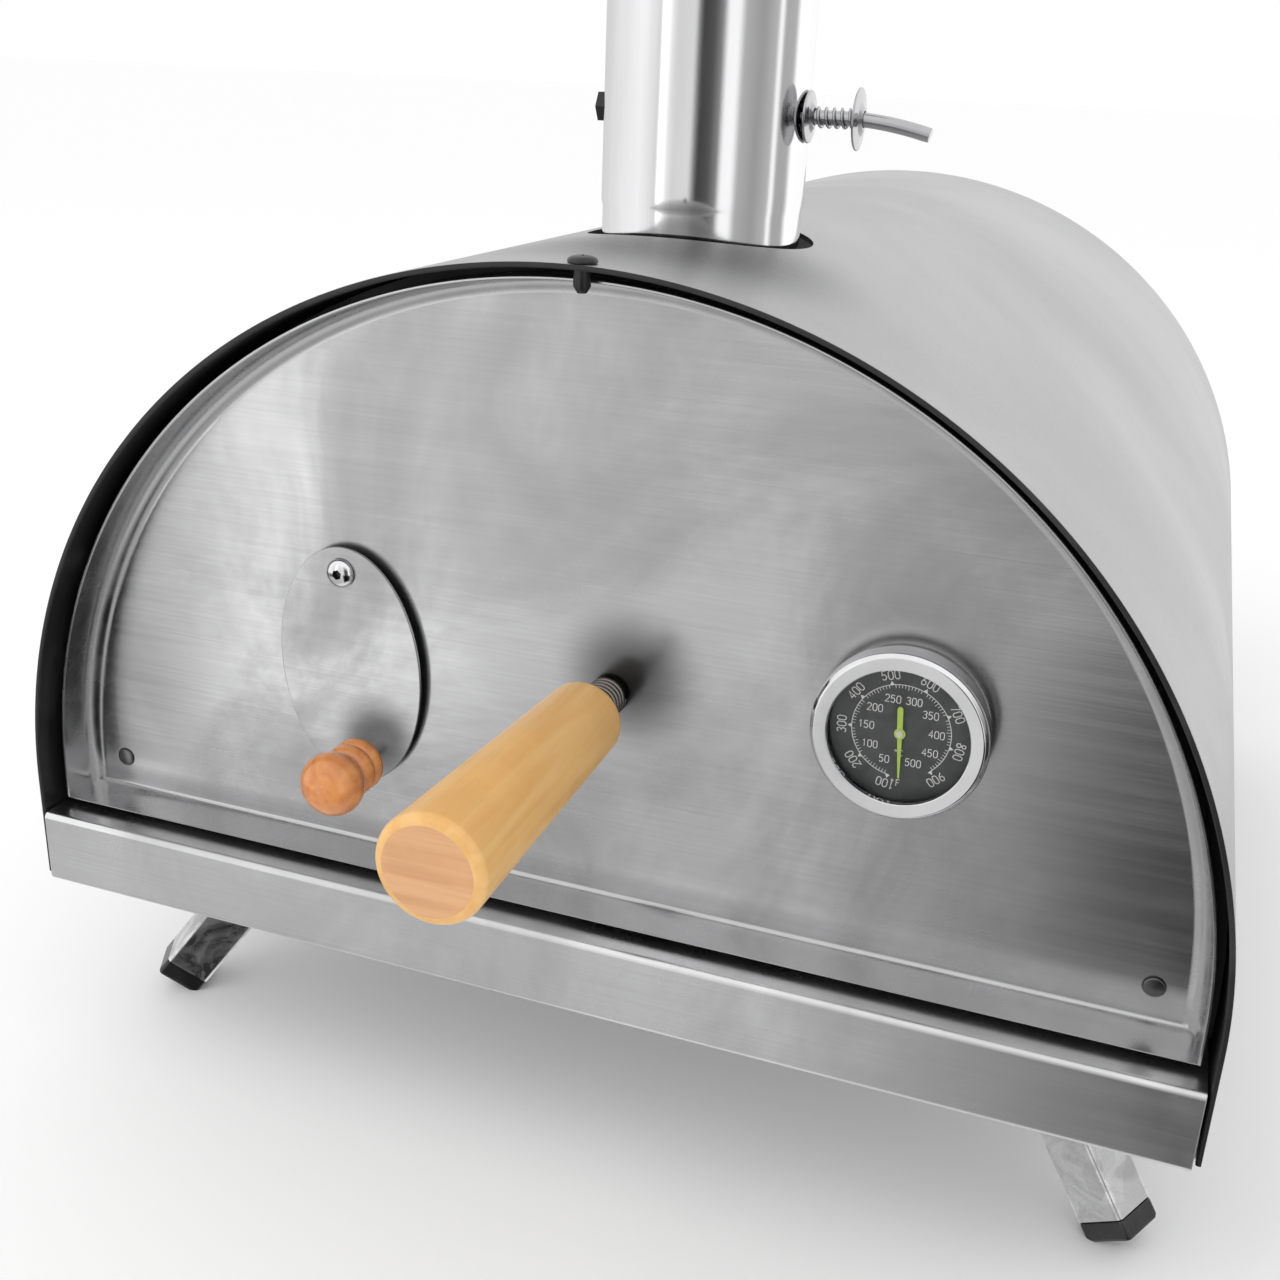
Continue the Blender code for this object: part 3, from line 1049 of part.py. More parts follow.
# ---------------------------------------------------------------- legs
def build_leg(name, side_x, side_y):
    """One corner: bracket, pin, square tube and foot plug. Local +X is the splay direction."""
    y_edge = FRONT_Y if side_y < 0 else REAR_Y
    place = (side_x * (SHELL_HALF - LEG_PIVOT_INSET_X), y_edge - side_y * LEG_PIVOT_INSET_Y,
             BASE_Z - LEG_PIVOT_DROP)
    yaw = math.atan2(side_y * math.sin(LEG_YAW), side_x * math.cos(LEG_YAW))
    pivot = add_empty(name + "_pivot_line", place, yaw)
    bpy.context.view_layer.update()
    frame = pivot.matrix_world.copy()
    lean = frame @ Matrix.Rotation(-LEG_SPLAY, 4, "Y")

    half = LEG_SECTION / 2
    tube = box((-half, -half, -LEG_LENGTH), (half, half, LEG_HEAD))
    tube.transform(lean)
    leg = add_object("leg_" + name, tube, "galvanised", pivot, smooth=False)
    round_edges(leg, LEG_CORNER)
    hollow = half - LEG_WALL
    past = 0.010
    bore = box((-hollow, -hollow, -LEG_LENGTH - past), (hollow, hollow, LEG_HEAD + past))
    bore.transform(lean)
    boolean(leg, add_cutter("leg_hollow_" + name, bore))
    pin_reach = half + GAP + SHEET + PIN_PAST_EAR
    pin_place = along_hinge(frame)
    hole = turned(rod_profile(PIN_RADIUS + GAP, -2 * half, 2 * half), 16, pin_place)
    boolean(leg, add_cutter("leg_pin_hole_" + name, hole))
    head = PIN_RADIUS + PIN_HEAD
    seat = pin_reach - PIN_HEAD
    profile = [(0.0, -pin_reach), (head, -pin_reach), (head, -seat), (PIN_RADIUS, -seat), (PIN_RADIUS, seat),
               (head, seat), (head, pin_reach), (0.0, pin_reach)]
    add_object("leg_pin_" + name, turned(profile, 16, pin_place), "galvanised", pivot)

    inside = hollow - GAP
    plug = box((-half, -half, -LEG_LENGTH - FOOT_LENGTH), (half, half, -LEG_LENGTH - GAP))
    plug.transform(lean)
    foot = add_object("leg_foot_" + name, plug, "black_plastic", pivot, smooth=False)
    round_edges(foot, LEG_CORNER)
    stub = box((-inside, -inside, -LEG_LENGTH - FOOT_LENGTH / 2), (inside, inside, -LEG_LENGTH + FOOT_STUB))
    stub.transform(lean)
    boolean(foot, add_cutter("foot_stub_" + name, stub), "UNION")
    reach = 4 * LEG_SECTION
    ground = box((-reach, -reach, -reach), (reach, reach, 0.0))
    ground.transform(Matrix.Translation((place[0] + LEG_LENGTH * LEG_OUT * math.cos(yaw),
                                         place[1] + LEG_LENGTH * LEG_OUT * math.sin(yaw), 0.0)))
    boolean(foot, add_cutter("foot_ground_cut_" + name, ground))
    build_bracket(name, frame, half)


def along_hinge(frame):
    """Places a turned profile on the leg's hinge line."""
    return lambda a, b, h: tuple(frame @ Vector((a, h, b)))


def build_bracket(name, frame, half):
    """A box open below and inwards: two ears for the pin, and an outer wall that stops the open leg."""
    clear = half + GAP
    stop_x = stop_distance(half)
    top = LEG_PIVOT_DROP + SHEET
    low = -PIN_RADIUS - EAR_BELOW_PIN
    past = 0.010
    back = -half
    shell = box((back, -clear - SHEET, low), (stop_x + SHEET, clear + SHEET, top))
    shell.transform(frame)
    bracket = add_object("leg_bracket_" + name, shell, "galvanised", smooth=False)
    inside = box((back - past, -clear, low - past), (stop_x, clear, top - SHEET))
    inside.transform(frame)
    boolean(bracket, add_cutter("bracket_inside_" + name, inside))
    lower_wall = box((stop_x - SHEET, -2 * clear, low - past), (stop_x + past, 2 * clear, STOP_Z))
    lower_wall.transform(frame)
    boolean(bracket, add_cutter("bracket_wall_cut_" + name, lower_wall))
    hole = turned(rod_profile(PIN_RADIUS + RUNNING_GAP, -2 * clear, 2 * clear), 16, along_hinge(frame))
    boolean(bracket, add_cutter("bracket_pin_hole_" + name, hole))


def stop_distance(half):
    """Distance from the pivot to the wall that the open leg's outer face rests on."""
    along = (half * math.sin(LEG_SPLAY) - STOP_Z) / math.cos(LEG_SPLAY)
    return along * math.sin(LEG_SPLAY) + half * math.cos(LEG_SPLAY) + GAP / math.cos(LEG_SPLAY)


def main():
    clear_scene()
    build_shell()
    build_insulation()
    build_liner()
    build_base()
    build_hearth_contents()
    build_door()
    build_handle()
    build_vent()
    build_thermometer()
    build_catch()
    build_chimney()
    build_cap()
    build_damper()
    for name, side_x, side_y in (("front_left", -1, -1), ("front_right", 1, -1),
                                 ("rear_left", -1, 1), ("rear_right", 1, 1)):
        build_leg(name, side_x, side_y)


main()
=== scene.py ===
"""Wood fired pizza oven: detailed pieces with node materials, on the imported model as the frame."""

import json
import math

import bmesh
import bpy
from mathutils import Matrix, Vector


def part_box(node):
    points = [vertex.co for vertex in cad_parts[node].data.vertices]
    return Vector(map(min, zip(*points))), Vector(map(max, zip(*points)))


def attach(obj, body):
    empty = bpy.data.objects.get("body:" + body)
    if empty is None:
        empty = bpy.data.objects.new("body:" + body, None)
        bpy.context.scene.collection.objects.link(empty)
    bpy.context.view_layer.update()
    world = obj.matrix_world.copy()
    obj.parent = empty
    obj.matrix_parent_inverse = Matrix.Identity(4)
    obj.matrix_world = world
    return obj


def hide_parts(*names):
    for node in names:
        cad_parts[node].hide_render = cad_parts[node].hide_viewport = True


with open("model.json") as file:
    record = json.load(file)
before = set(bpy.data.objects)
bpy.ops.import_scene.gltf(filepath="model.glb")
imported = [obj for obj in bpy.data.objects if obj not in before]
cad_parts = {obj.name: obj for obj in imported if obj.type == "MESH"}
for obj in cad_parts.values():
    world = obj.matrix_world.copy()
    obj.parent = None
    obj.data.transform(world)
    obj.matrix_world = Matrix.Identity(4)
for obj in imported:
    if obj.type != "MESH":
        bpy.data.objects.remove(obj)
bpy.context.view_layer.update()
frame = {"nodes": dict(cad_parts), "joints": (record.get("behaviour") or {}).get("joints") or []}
JOINTS = {joint["name"]: joint for joint in frame["joints"]}

# ---------------------------------------------------------------- places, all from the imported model
SHELL_LOW, SHELL_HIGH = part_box("outer_shell")
SHELL_HALF = SHELL_HIGH.x
SHELL_CROWN = SHELL_HALF - 0.004
SPRING_Z = SHELL_HIGH.z - SHELL_CROWN
SHELL_SHEET = 0.0020
DOOR_LOW, DOOR_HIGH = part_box("door_pan")
DOOR_HALF = DOOR_HIGH.x
DOOR_CROWN = DOOR_HIGH.z - SPRING_Z
DOOR_SHEET = 0.0012
FACE_Y = DOOR_HIGH.y - DOOR_SHEET
TUBE_LOW, TUBE_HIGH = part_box("chimney_tube")
TUBE_RADIUS = TUBE_HIGH.x
TUBE_Y = (TUBE_LOW.y + TUBE_HIGH.y) / 2
CORNERS = ("front_left", "front_right", "rear_left", "rear_right")


def middle(node):
    low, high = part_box(node)
    return (low + high) / 2


# ---------------------------------------------------------------- node material helpers
class NodeTree:
    """Short calls that build shader nodes in a tree."""

    def __init__(self, tree):
        self.tree = tree

    def node(self, kind, **settings):
        made = self.tree.nodes.new("ShaderNode" + kind)
        for key, value in settings.items():
            setattr(made, key, value)
        return made

    def feed(self, socket, value):
        """Links an output, or sets a plain value. A colour may be one grey."""
        if hasattr(value, "is_output"):
            self.tree.links.new(value, socket)
        elif socket.type == "RGBA":
            rgb = (value,) * 3 if isinstance(value, float) else value[:3]
            socket.default_value = (*rgb, 1.0)
        else:
            socket.default_value = value

    def out(self, kind, output, inputs, **settings):
        """An output of a new node, whose named or numbered inputs are fed."""
        made = self.node(kind, **settings)
        for socket, value in inputs.items():
            self.feed(made.inputs[socket], value)
        return made.outputs[output]

    def math(self, operation, a, b=0.0, clamp=False):
        return self.out("Math", 0, {0: a, 1: b}, operation=operation, use_clamp=clamp)

    def mix(self, amount, a, b, blend="MIX"):
        made = self.node("Mix", data_type="RGBA", blend_type=blend)
        self.feed(made.inputs[0], amount)
        for socket, value in zip((s for s in made.inputs if s.type == "RGBA"), (a, b)):
            self.feed(socket, value)
        return next(s for s in made.outputs if s.type == "RGBA")


class Finish(NodeTree):
    """A node material with one Principled shader."""

    def __init__(self, name, metallic=0.0, roughness=0.5, **sockets):
        self.material = bpy.data.materials.new(name)
        self.material.use_nodes = True
        super().__init__(self.material.node_tree)
        self.shader = self.tree.nodes["Principled BSDF"]
        for socket, value in dict(Metallic=metallic, Roughness=roughness, **sockets).items():
            self.shader.inputs[socket.replace("_", " ")].default_value = value
        self.coords = self.node("TexCoord").outputs["Object"]
        self.bump_out = None

    def stretched(self, scale, location=(0.0, 0.0, 0.0), rotation=(0.0, 0.0, 0.0)):
        return self.out("Mapping", "Vector", {"Vector": self.coords, "Scale": scale, "Location": location,
                                              "Rotation": rotation})

    def noise(self, scale, detail=4.0, vector=None, roughness=0.55, distortion=0.0):
        return self.out("TexNoise", "Fac", {"Vector": vector or self.coords, "Scale": scale, "Detail": detail,
                                            "Roughness": roughness, "Distortion": distortion})

    def cells(self, scale):
        """The grey of each cell of a crystal pattern."""
        spangle = self.out("TexVoronoi", "Color", {"Vector": self.coords, "Scale": scale}, feature="F1")
        return self.out("RGBToBW", 0, {0: spangle})

    def spread(self, value, low, high, to_low, to_high, smooth=True):
        ends = {"Value": value, "From Min": low, "From Max": high, "To Min": to_low, "To Max": to_high}
        return self.out("MapRange", "Result", ends, interpolation_type="SMOOTHSTEP" if smooth else "LINEAR")

    def near(self, place, inner, outer):
        """1 within inner of a place, fading to 0 at outer."""
        distance = self.out("VectorMath", "Value", {0: self.coords, 1: place}, operation="DISTANCE")
        return self.spread(distance, inner, outer, 1.0, 0.0)

    def colour(self, value):
        self.feed(self.shader.inputs["Base Color"], value)

    def rough(self, value):
        self.feed(self.shader.inputs["Roughness"], value)

    def bump(self, height, strength, distance):
        """Adds a bump on top of those before it."""
        inputs = {"Strength": strength, "Distance": distance, "Height": height}
        if self.bump_out is not None:
            inputs["Normal"] = self.bump_out
        self.bump_out = self.out("Bump", "Normal", inputs)
        self.feed(self.shader.inputs["Normal"], self.bump_out)


BRUSH = (14.0, 900.0, 900.0)    # noise scales that draw the grain out along X
BRUSH_GRAIN = 0.07


def brushed(name, tone, roughness=(0.24, 0.40), cloud=0.25, waviness=0.3, shades=()):
    """Brushed stainless sheet: fine grain along X, cloudy patches, faint scratches and smears.

    shades are (place, inner, outer, factor): painted shade, soft dark patches around fittings that stand in for
    their shadows and dark reflections.
    """
    f = Finish(name, metallic=1.0)
    fine = f.noise(1.0, 3.0, f.stretched(BRUSH), 0.65)
    coarse = f.noise(1.0, 2.0, f.stretched(tuple(v * 0.28 for v in BRUSH)), 0.6)
    clouds = f.noise(7.0, 5.0, None, 0.62, 0.9)
    blotch = f.noise(19.0, 4.0, None, 0.6, 1.6)
    tint = f.math("ADD", f.spread(clouds, 0.32, 0.68, 1.0 - cloud, 1.0 + cloud * 0.5),
                  f.spread(blotch, 0.50, 0.72, 0.0, cloud * 0.28))
    grain = f.spread(fine, 0.2, 0.8, 1.0 - BRUSH_GRAIN, 1.0 + BRUSH_GRAIN * 0.5, False)
    grained = f.math("MULTIPLY", tint, grain)
    # painted shade round the fittings, multiplied into the tone
    for place, inner, outer, factor in shades:
        shade = f.spread(f.near(place, inner, outer), 0.0, 1.0, 1.0, factor, False)
        grained = f.math("MULTIPLY", grained, shade)
    f.colour(f.mix(1.0, tone, grained, "MULTIPLY"))
    base_rough = f.spread(clouds, 0.30, 0.70, roughness[1], roughness[0])
    f.rough(f.math("ADD", base_rough, f.spread(coarse, 0.3, 0.7, -0.012, 0.018)))
    f.bump(f.noise(5.0, 2.0, None, 0.5, 0.4), waviness, 0.004)
    f.bump(fine, 0.05, 0.0003)
    slanted = f.stretched(tuple(v * 0.5 for v in BRUSH), (3.1, 1.7, 0.4), (0.0, 0.18, 0.0))
    scratches = f.noise(1.0, 2.0, slanted, 0.5)
    f.bump(f.spread(scratches, 0.70, 0.78, 0.0, 1.0), 0.06, 0.0003)
    return f


def satin_shell():
    """Rolled and bead-blasted sheet: an even satin with a fine sparkle and faint roll marks, darkened by
    painted shade in front of the flue.
    """
    f = Finish("satin_shell", metallic=1.0)
    sparkle = f.noise(2600.0, 2.0, None, 0.7)
    fine = f.noise(620.0, 3.0, None, 0.7)
    clouds = f.noise(4.5, 4.0, None, 0.55, 0.5)
    tone = f.math("MULTIPLY", f.spread(clouds, 0.3, 0.7, 0.92, 1.05),
                  f.spread(sparkle, 0.25, 0.75, 0.90, 1.10, False))
    # painted shade and reflection: the tone is darkened round a point on the shell just in front of the
    # chimney, standing in for the chimney's shadow and its dark reflection
    flue_shade_centre = (0.018, SHELL_LOW.y + 0.070, SHELL_HIGH.z)
    tone = f.math("MULTIPLY", tone, f.spread(f.near(flue_shade_centre, 0.010, 0.080), 0.0, 1.0, 1.0, 0.36, False))
    f.colour(f.mix(1.0, (0.475, 0.475, 0.478), tone, "MULTIPLY"))
    f.rough(f.math("ADD", f.spread(clouds, 0.3, 0.7, 0.46, 0.40), f.spread(fine, 0.3, 0.7, -0.03, 0.03)))
    f.bump(f.noise(3.0, 2.0, f.stretched((1.0, 0.5, 1.0))), 0.25, 0.003)
    f.bump(fine, 0.10, 0.0003)
    return f


def polished(name, tone=(0.80, 0.80, 0.81), roughness=(0.05, 0.12), waviness=0.15, streak=None):
    """Bright plated or polished metal with a faint haze, fine marks and small dings."""
    f = Finish(name, metallic=1.0)
    haze = f.noise(55.0, 4.0, f.stretched(streak) if streak else None, 0.6)
    f.colour(f.mix(1.0, tone, f.spread(haze, 0.3, 0.75, 0.92, 1.02), "MULTIPLY"))
    f.rough(f.spread(haze, 0.25, 0.75, roughness[0], roughness[1]))
    f.bump(f.noise(26.0, 3.0, f.stretched(streak) if streak else None, 0.5), waviness, 0.0007)
    f.bump(f.noise(900.0, 2.0), 0.03, 0.0002)
    return f


def galvanised(name, tone=(0.60, 0.60, 0.61), scale=150.0, roughness=(0.26, 0.52)):
    """Zinc plate with soft spangle, dull blotches and handling marks."""
    f = Finish(name, metallic=1.0)
    grey = f.cells(scale)
    blotch = f.noise(scale * 0.42, 5.0, None, 0.65, 1.4)
    tone_mix = f.math("MULTIPLY", f.spread(grey, 0.0, 1.0, 0.84, 1.08, False),
                      f.spread(blotch, 0.36, 0.62, 0.70, 1.08))
    f.colour(f.mix(1.0, tone, tone_mix, "MULTIPLY"))
    f.rough(f.spread(blotch, 0.3, 0.65, roughness[1], roughness[0]))
    f.bump(blotch, 0.10, 0.0008)
    f.bump(f.noise(1500.0, 2.0), 0.05, 0.0002)
    return f


def painted(name, tone, roughness=(0.30, 0.48), peel=0.10, dust=0.03):
    """Black stove paint or moulded plastic: slight orange peel, dust in patches."""
    f = Finish(name, roughness=0.4)
    patch = f.noise(24.0, 5.0, None, 0.6, 0.6)
    f.colour(f.mix(f.spread(patch, 0.48, 0.75, 0.0, 1.0), tone, tuple(min(1.0, c + dust) for c in tone)))
    f.rough(f.spread(patch, 0.3, 0.7, roughness[0], roughness[1]))
    f.bump(f.noise(420.0, 3.0), peel, 0.0004)
    return f


def heated_iron(name, tone=(0.085, 0.082, 0.080)):
    """Sheet darkened by fire: matt soot patches over bare and slightly browned metal."""
    f = Finish(name, metallic=0.75)
    soot = f.noise(15.0, 6.0, None, 0.65, 1.2)
    speck = f.noise(310.0, 3.0, None, 0.6)
    warm = f.mix(f.spread(soot, 0.40, 0.66, 0.0, 1.0), tone, (0.165, 0.140, 0.120))
    f.colour(f.mix(f.spread(speck, 0.35, 0.65, 0.0, 0.5), warm, (0.045, 0.044, 0.043)))
    f.rough(f.spread(soot, 0.3, 0.7, 0.78, 0.46))
    f.bump(speck, 0.20, 0.0005)
    f.bump(f.noise(9.0, 3.0), 0.25, 0.002)
    return f


def turned_wood(name, light, dark, along, ring_scale, gloss, pores=0.35, coat=0.0):
    """Turned and lacquered wood: soft grain along an axis, fine pores and a mottled sheen."""
    f = Finish(name, roughness=0.4, Coat_Weight=coat, Coat_Roughness=0.10)
    stretch = [ring_scale] * 3
    stretch["xyz".index(along)] = ring_scale * 0.055
    grain_vector = f.stretched(tuple(stretch), (0.31, 0.17, 0.42))
    broad = f.noise(1.0, 4.0, grain_vector, 0.55, 1.3)
    fine_stretch = [ring_scale * 7.5] * 3
    fine_stretch["xyz".index(along)] = ring_scale * 0.20
    fine = f.noise(1.0, 3.0, f.stretched(tuple(fine_stretch)), 0.7)
    mottle = f.noise(42.0, 4.0, None, 0.6, 0.8)
    tone = f.mix(f.spread(broad, 0.34, 0.68, 0.0, 1.0), light, dark)
    tone = f.mix(f.spread(fine, 0.52, 0.80, 0.0, pores), tone, tuple(c * 0.62 for c in dark))
    tone = f.mix(f.spread(mottle, 0.40, 0.75, 0.0, 0.28), tone, tuple(min(1.0, c * 1.16) for c in light))
    f.colour(tone)
    f.rough(f.math("ADD", f.spread(mottle, 0.3, 0.7, *gloss), f.spread(fine, 0.4, 0.7, 0.0, 0.08)))
    f.bump(fine, 0.10, 0.0003)
    f.bump(broad, 0.05, 0.0006)
    return f


def baking_stone():
    f = Finish("baking_stone", roughness=0.9)
    sand = f.noise(900.0, 3.0, None, 0.7)
    stain = f.noise(11.0, 5.0, None, 0.6, 1.1)
    tone = f.mix(f.spread(stain, 0.50, 0.74, 0.0, 0.6), (0.66, 0.58, 0.46), (0.34, 0.26, 0.19))
    f.colour(f.mix(f.spread(sand, 0.42, 0.66, 0.0, 0.35), tone, (0.80, 0.74, 0.64)))
    f.bump(sand, 0.30, 0.0005)
    f.bump(f.noise(160.0, 4.0), 0.18, 0.0008)
    return f


def fibre_blanket():
    f = Finish("fibre_blanket", roughness=0.95, Sheen_Weight=0.3)
    fibres = f.noise(1.0, 4.0, f.stretched((700.0, 160.0, 700.0)), 0.7, 2.0)
    f.colour(f.mix(f.spread(fibres, 0.3, 0.7, 0.0, 1.0), (0.90, 0.89, 0.86), (0.74, 0.73, 0.70)))
    f.bump(fibres, 0.5, 0.001)
    return f


def clear_glass():
    f = Finish("dial_glass", roughness=0.03, IOR=1.28, Transmission_Weight=1.0)
    f.rough(f.spread(f.noise(60.0, 4.0, None, 0.6), 0.45, 0.8, 0.015, 0.05))
    f.colour((0.98, 0.99, 0.99))
    f.bump(f.noise(16.0, 2.0), 0.02, 0.0005)
    return f


def dial_face():
    """Dark printed dial, with soft uneven patches and a faint grain."""
    f = Finish("dial_face", roughness=0.55)
    patch = f.noise(95.0, 4.0, None, 0.6, 0.8)
    f.colour(f.mix(f.spread(patch, 0.36, 0.70, 0.0, 1.0), (0.020, 0.021, 0.022), (0.050, 0.052, 0.053)))
    f.rough(f.spread(patch, 0.3, 0.7, 0.42, 0.62))
    f.bump(f.noise(1800.0, 2.0), 0.05, 0.0001)
    return f


def ink(name, tone, roughness=0.5):
    f = Finish(name, roughness=roughness)
    wear = f.noise(700.0, 3.0, None, 0.6)
    f.colour(f.mix(f.spread(wear, 0.35, 0.75, 0.0, 0.35), tone, tuple(c * 0.72 for c in tone)))
    f.bump(wear, 0.05, 0.0001)
    return f


# ---------------------------------------------------------------- mesh helpers
def piece(name, bm, finishes, body, replaces=(), smooth_angle=40.0, recalc=True):
    """A bmesh in world coordinates as a piece that rides a body and stands for the named CAD nodes."""
    bmesh.ops.remove_doubles(bm, verts=bm.verts, dist=2e-6)
    if recalc:
        bmesh.ops.recalc_face_normals(bm, faces=bm.faces)
    mesh = bpy.data.meshes.new(name)
    bm.to_mesh(mesh)
    bm.free()
    if smooth_angle:
        mesh.shade_smooth()
        mesh.set_sharp_from_angle(angle=math.radians(smooth_angle))
    obj = bpy.data.objects.new(name, mesh)
    bpy.context.scene.collection.objects.link(obj)
    if smooth_angle:
        even_normals(obj)
    for finish in finishes if isinstance(finishes, (list, tuple)) else [finishes]:
        mesh.materials.append(finish.material)
    if body:
        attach(obj, body)
    if replaces:
        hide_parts(*replaces)
    return obj


def even_normals(obj):
    """Keeps large flat faces flat beside their rounded edges."""
    modifier = obj.modifiers.new("flat_faces", "WEIGHTED_NORMAL")
    modifier.keep_sharp = True


def carve(obj, cutters, smooth_angle=40.0, operation="DIFFERENCE"):
    """Cuts closed bmeshes out of a piece for good. Cutters are (bmesh, finish or None)."""
    made = []
    obj.modifiers.clear()
    for i, (bm, finish) in enumerate(cutters):
        bmesh.ops.recalc_face_normals(bm, faces=bm.faces)
        mesh = bpy.data.meshes.new("cutter")
        bm.to_mesh(mesh)
        bm.free()
        if finish is not None:
            mesh.materials.append(finish.material)
        cutter = bpy.data.objects.new("cutter_%s_%d" % (obj.name, i), mesh)
        bpy.context.scene.collection.objects.link(cutter)
        modifier = obj.modifiers.new("cut", "BOOLEAN")
        modifier.operation = operation
        modifier.object = cutter
        modifier.solver = "EXACT"
        modifier.material_mode = "TRANSFER" if finish is not None else "INDEX"
        made.append(cutter)
    bpy.context.view_layer.update()
    graph = bpy.context.evaluated_depsgraph_get()
    result = bpy.data.meshes.new_from_object(obj.evaluated_get(graph), depsgraph=graph)
    obj.modifiers.clear()
    old = obj.data
    obj.data = result
    bpy.data.meshes.remove(old)
    for cutter in made:
        data = cutter.data
        bpy.data.objects.remove(cutter)
        bpy.data.meshes.remove(data)
    result.shade_smooth()
    result.set_sharp_from_angle(angle=math.radians(smooth_angle))
    even_normals(obj)


def bridge(bm, ring_a, ring_b, closed=True, material=0):
    """The strip of faces between two rings of vertices."""
    count = len(ring_a)
    for i in range(count if closed else count - 1):
        j = (i + 1) % count
        bm.faces.new((ring_a[i], ring_a[j], ring_b[j], ring_b[i])).material_index = material


def loft(rings, looped=False):
    """Walls between neighbouring rings of points, with flat ends unless the last ring meets the first."""
    bm = bmesh.new()
    rings = [[bm.verts.new(point) for point in ring] for ring in rings]
    for ring_a, ring_b in zip(rings, rings[1:] + rings[:1] if looped else rings[1:]):
        bridge(bm, ring_a, ring_b)
    if not looped:
        bm.faces.new(rings[0])
        bm.faces.new(rings[-1])
    return bm


def circle(steps):
    """The angles of evenly spaced points round a full turn."""
    return [2 * math.pi * i / steps for i in range(steps)]


def lathe(profile, steps, place, bm=None):
    """A closed outline of (radius, height) points turned about an axis.

    place(a, b, h) gives the world point.
    """
    bm = bm or bmesh.new()
    rings = []
    for radius, height in profile:
        turns = circle(steps) if radius > 1e-9 else [0.0]
        rings.append([bm.verts.new(place(radius * math.cos(a), radius * math.sin(a), height)) for a in turns])
    for ring_a, ring_b in zip(rings, rings[1:] + rings[:1]):
        tip, ring = sorted((ring_a, ring_b), key=len)
        if len(tip) > 1:
            bridge(bm, ring_a, ring_b)
        elif len(ring) > 1:
            for i in range(steps):
                bm.faces.new((tip[0], ring[i], ring[(i + 1) % steps]))
    return bm


def rod(radius, start, end, place, steps=32):
    """A plain cylinder along an axis, mostly to cut a hole."""
    return lathe([(0.0, start), (radius, start), (radius, end), (0.0, end)], steps, place)


def axis_y(x, z):
    return lambda a, b, h: (x + a, h, z + b)


def axis_z(x, y):
    return lambda a, b, h: (x + a, y + b, h)


def axis_x(y, z):
    return lambda a, b, h: (h, y + a, z + b)


def rounded(points, steps):
    """A closed (radius, height) outline whose marked corners become arcs: points are (a, b) or (a, b, r)."""
    out = []
    count = len(points)
    for i, point in enumerate(points):
        r = point[2] if len(point) > 2 else 0.0
        here = Vector(point[:2])
        before = Vector(points[i - 1][:2]) - here
        after = Vector(points[(i + 1) % count][:2]) - here
        if r <= 0 or here.x < 1e-9:
            out.append(tuple(here))
            continue
        turn = before.angle(after)
        run = min(r / math.tan(turn / 2), before.length * 0.49, after.length * 0.49)
        real = run * math.tan(turn / 2)
        centre = here + (before.normalized() + after.normalized()).normalized() * (real / math.sin(turn / 2))
        start = here + before.normalized() * run - centre
        sweep = start.angle_signed(here + after.normalized() * run - centre)
        for k in range(steps + 1):
            out.append(tuple(centre + Matrix.Rotation(-sweep * k / steps, 2) @ start))
    return out


def arch(half, crown, bottom, steps=128):
    """(x, z) points over an arch, whose straight sides run down to bottom (z from the spring line)."""
    straight = 6
    points = [(half, bottom - bottom * i / straight) for i in range(straight)]
    for i in range(steps + 1):
        angle = math.pi * i / steps
        points.append((half * math.cos(angle), crown * math.sin(angle)))
    return points + [(-half, bottom * i / straight) for i in range(1, straight + 1)]


def tube_along(path, radius, sides, radii=None):
    """A round tube along points, with frames carried along so that it doesn't twist."""
    path = [Vector(p) for p in path]
    rings = []
    normal = None
    for i, point in enumerate(path):
        tangent = (path[min(i + 1, len(path) - 1)] - path[max(i - 1, 0)]).normalized()
        if normal is None:
            normal = tangent.orthogonal().normalized()
        normal = (normal - tangent * normal.dot(tangent)).normalized()
        across = tangent.cross(normal)
        r = radii[i] if radii else radius
        rings.append([point + (normal * math.cos(a) + across * math.sin(a)) * r for a in circle(sides)])
    return loft(rings)


def prism_y(points, y_start, y_end):
    """A flat outline of (x, z) points, drawn out along Y."""
    return loft([[(x, y, z) for x, z in points] for y in (y_start, y_end)])


# ---------------------------------------------------------------- finishes
SHELL_SATIN = satin_shell()
SHELL_BLACK = painted("shell_black", (0.012, 0.012, 0.013), (0.36, 0.55), 0.16, 0.02)
HANDLE_PLACE, KNOB_PLACE = middle("door_handle"), middle("vent_knob")
RIVETS = [middle("door_rivet_left"), middle("door_rivet_right")]
# painted shade on the door: a dark patch up and right of the handle's root, for the shadow and dark reflection
# of the handle and its collar, and a thin dark ring round each rivet head, for the shade at its edge
DOOR_SHADES = [((HANDLE_PLACE.x + 0.008, FACE_Y, HANDLE_PLACE.z + 0.008), 0.008, 0.034, 0.30)]
DOOR_SHADES += [((rivet.x, FACE_Y, rivet.z), 0.0040, 0.0046, 0.25) for rivet in RIVETS]
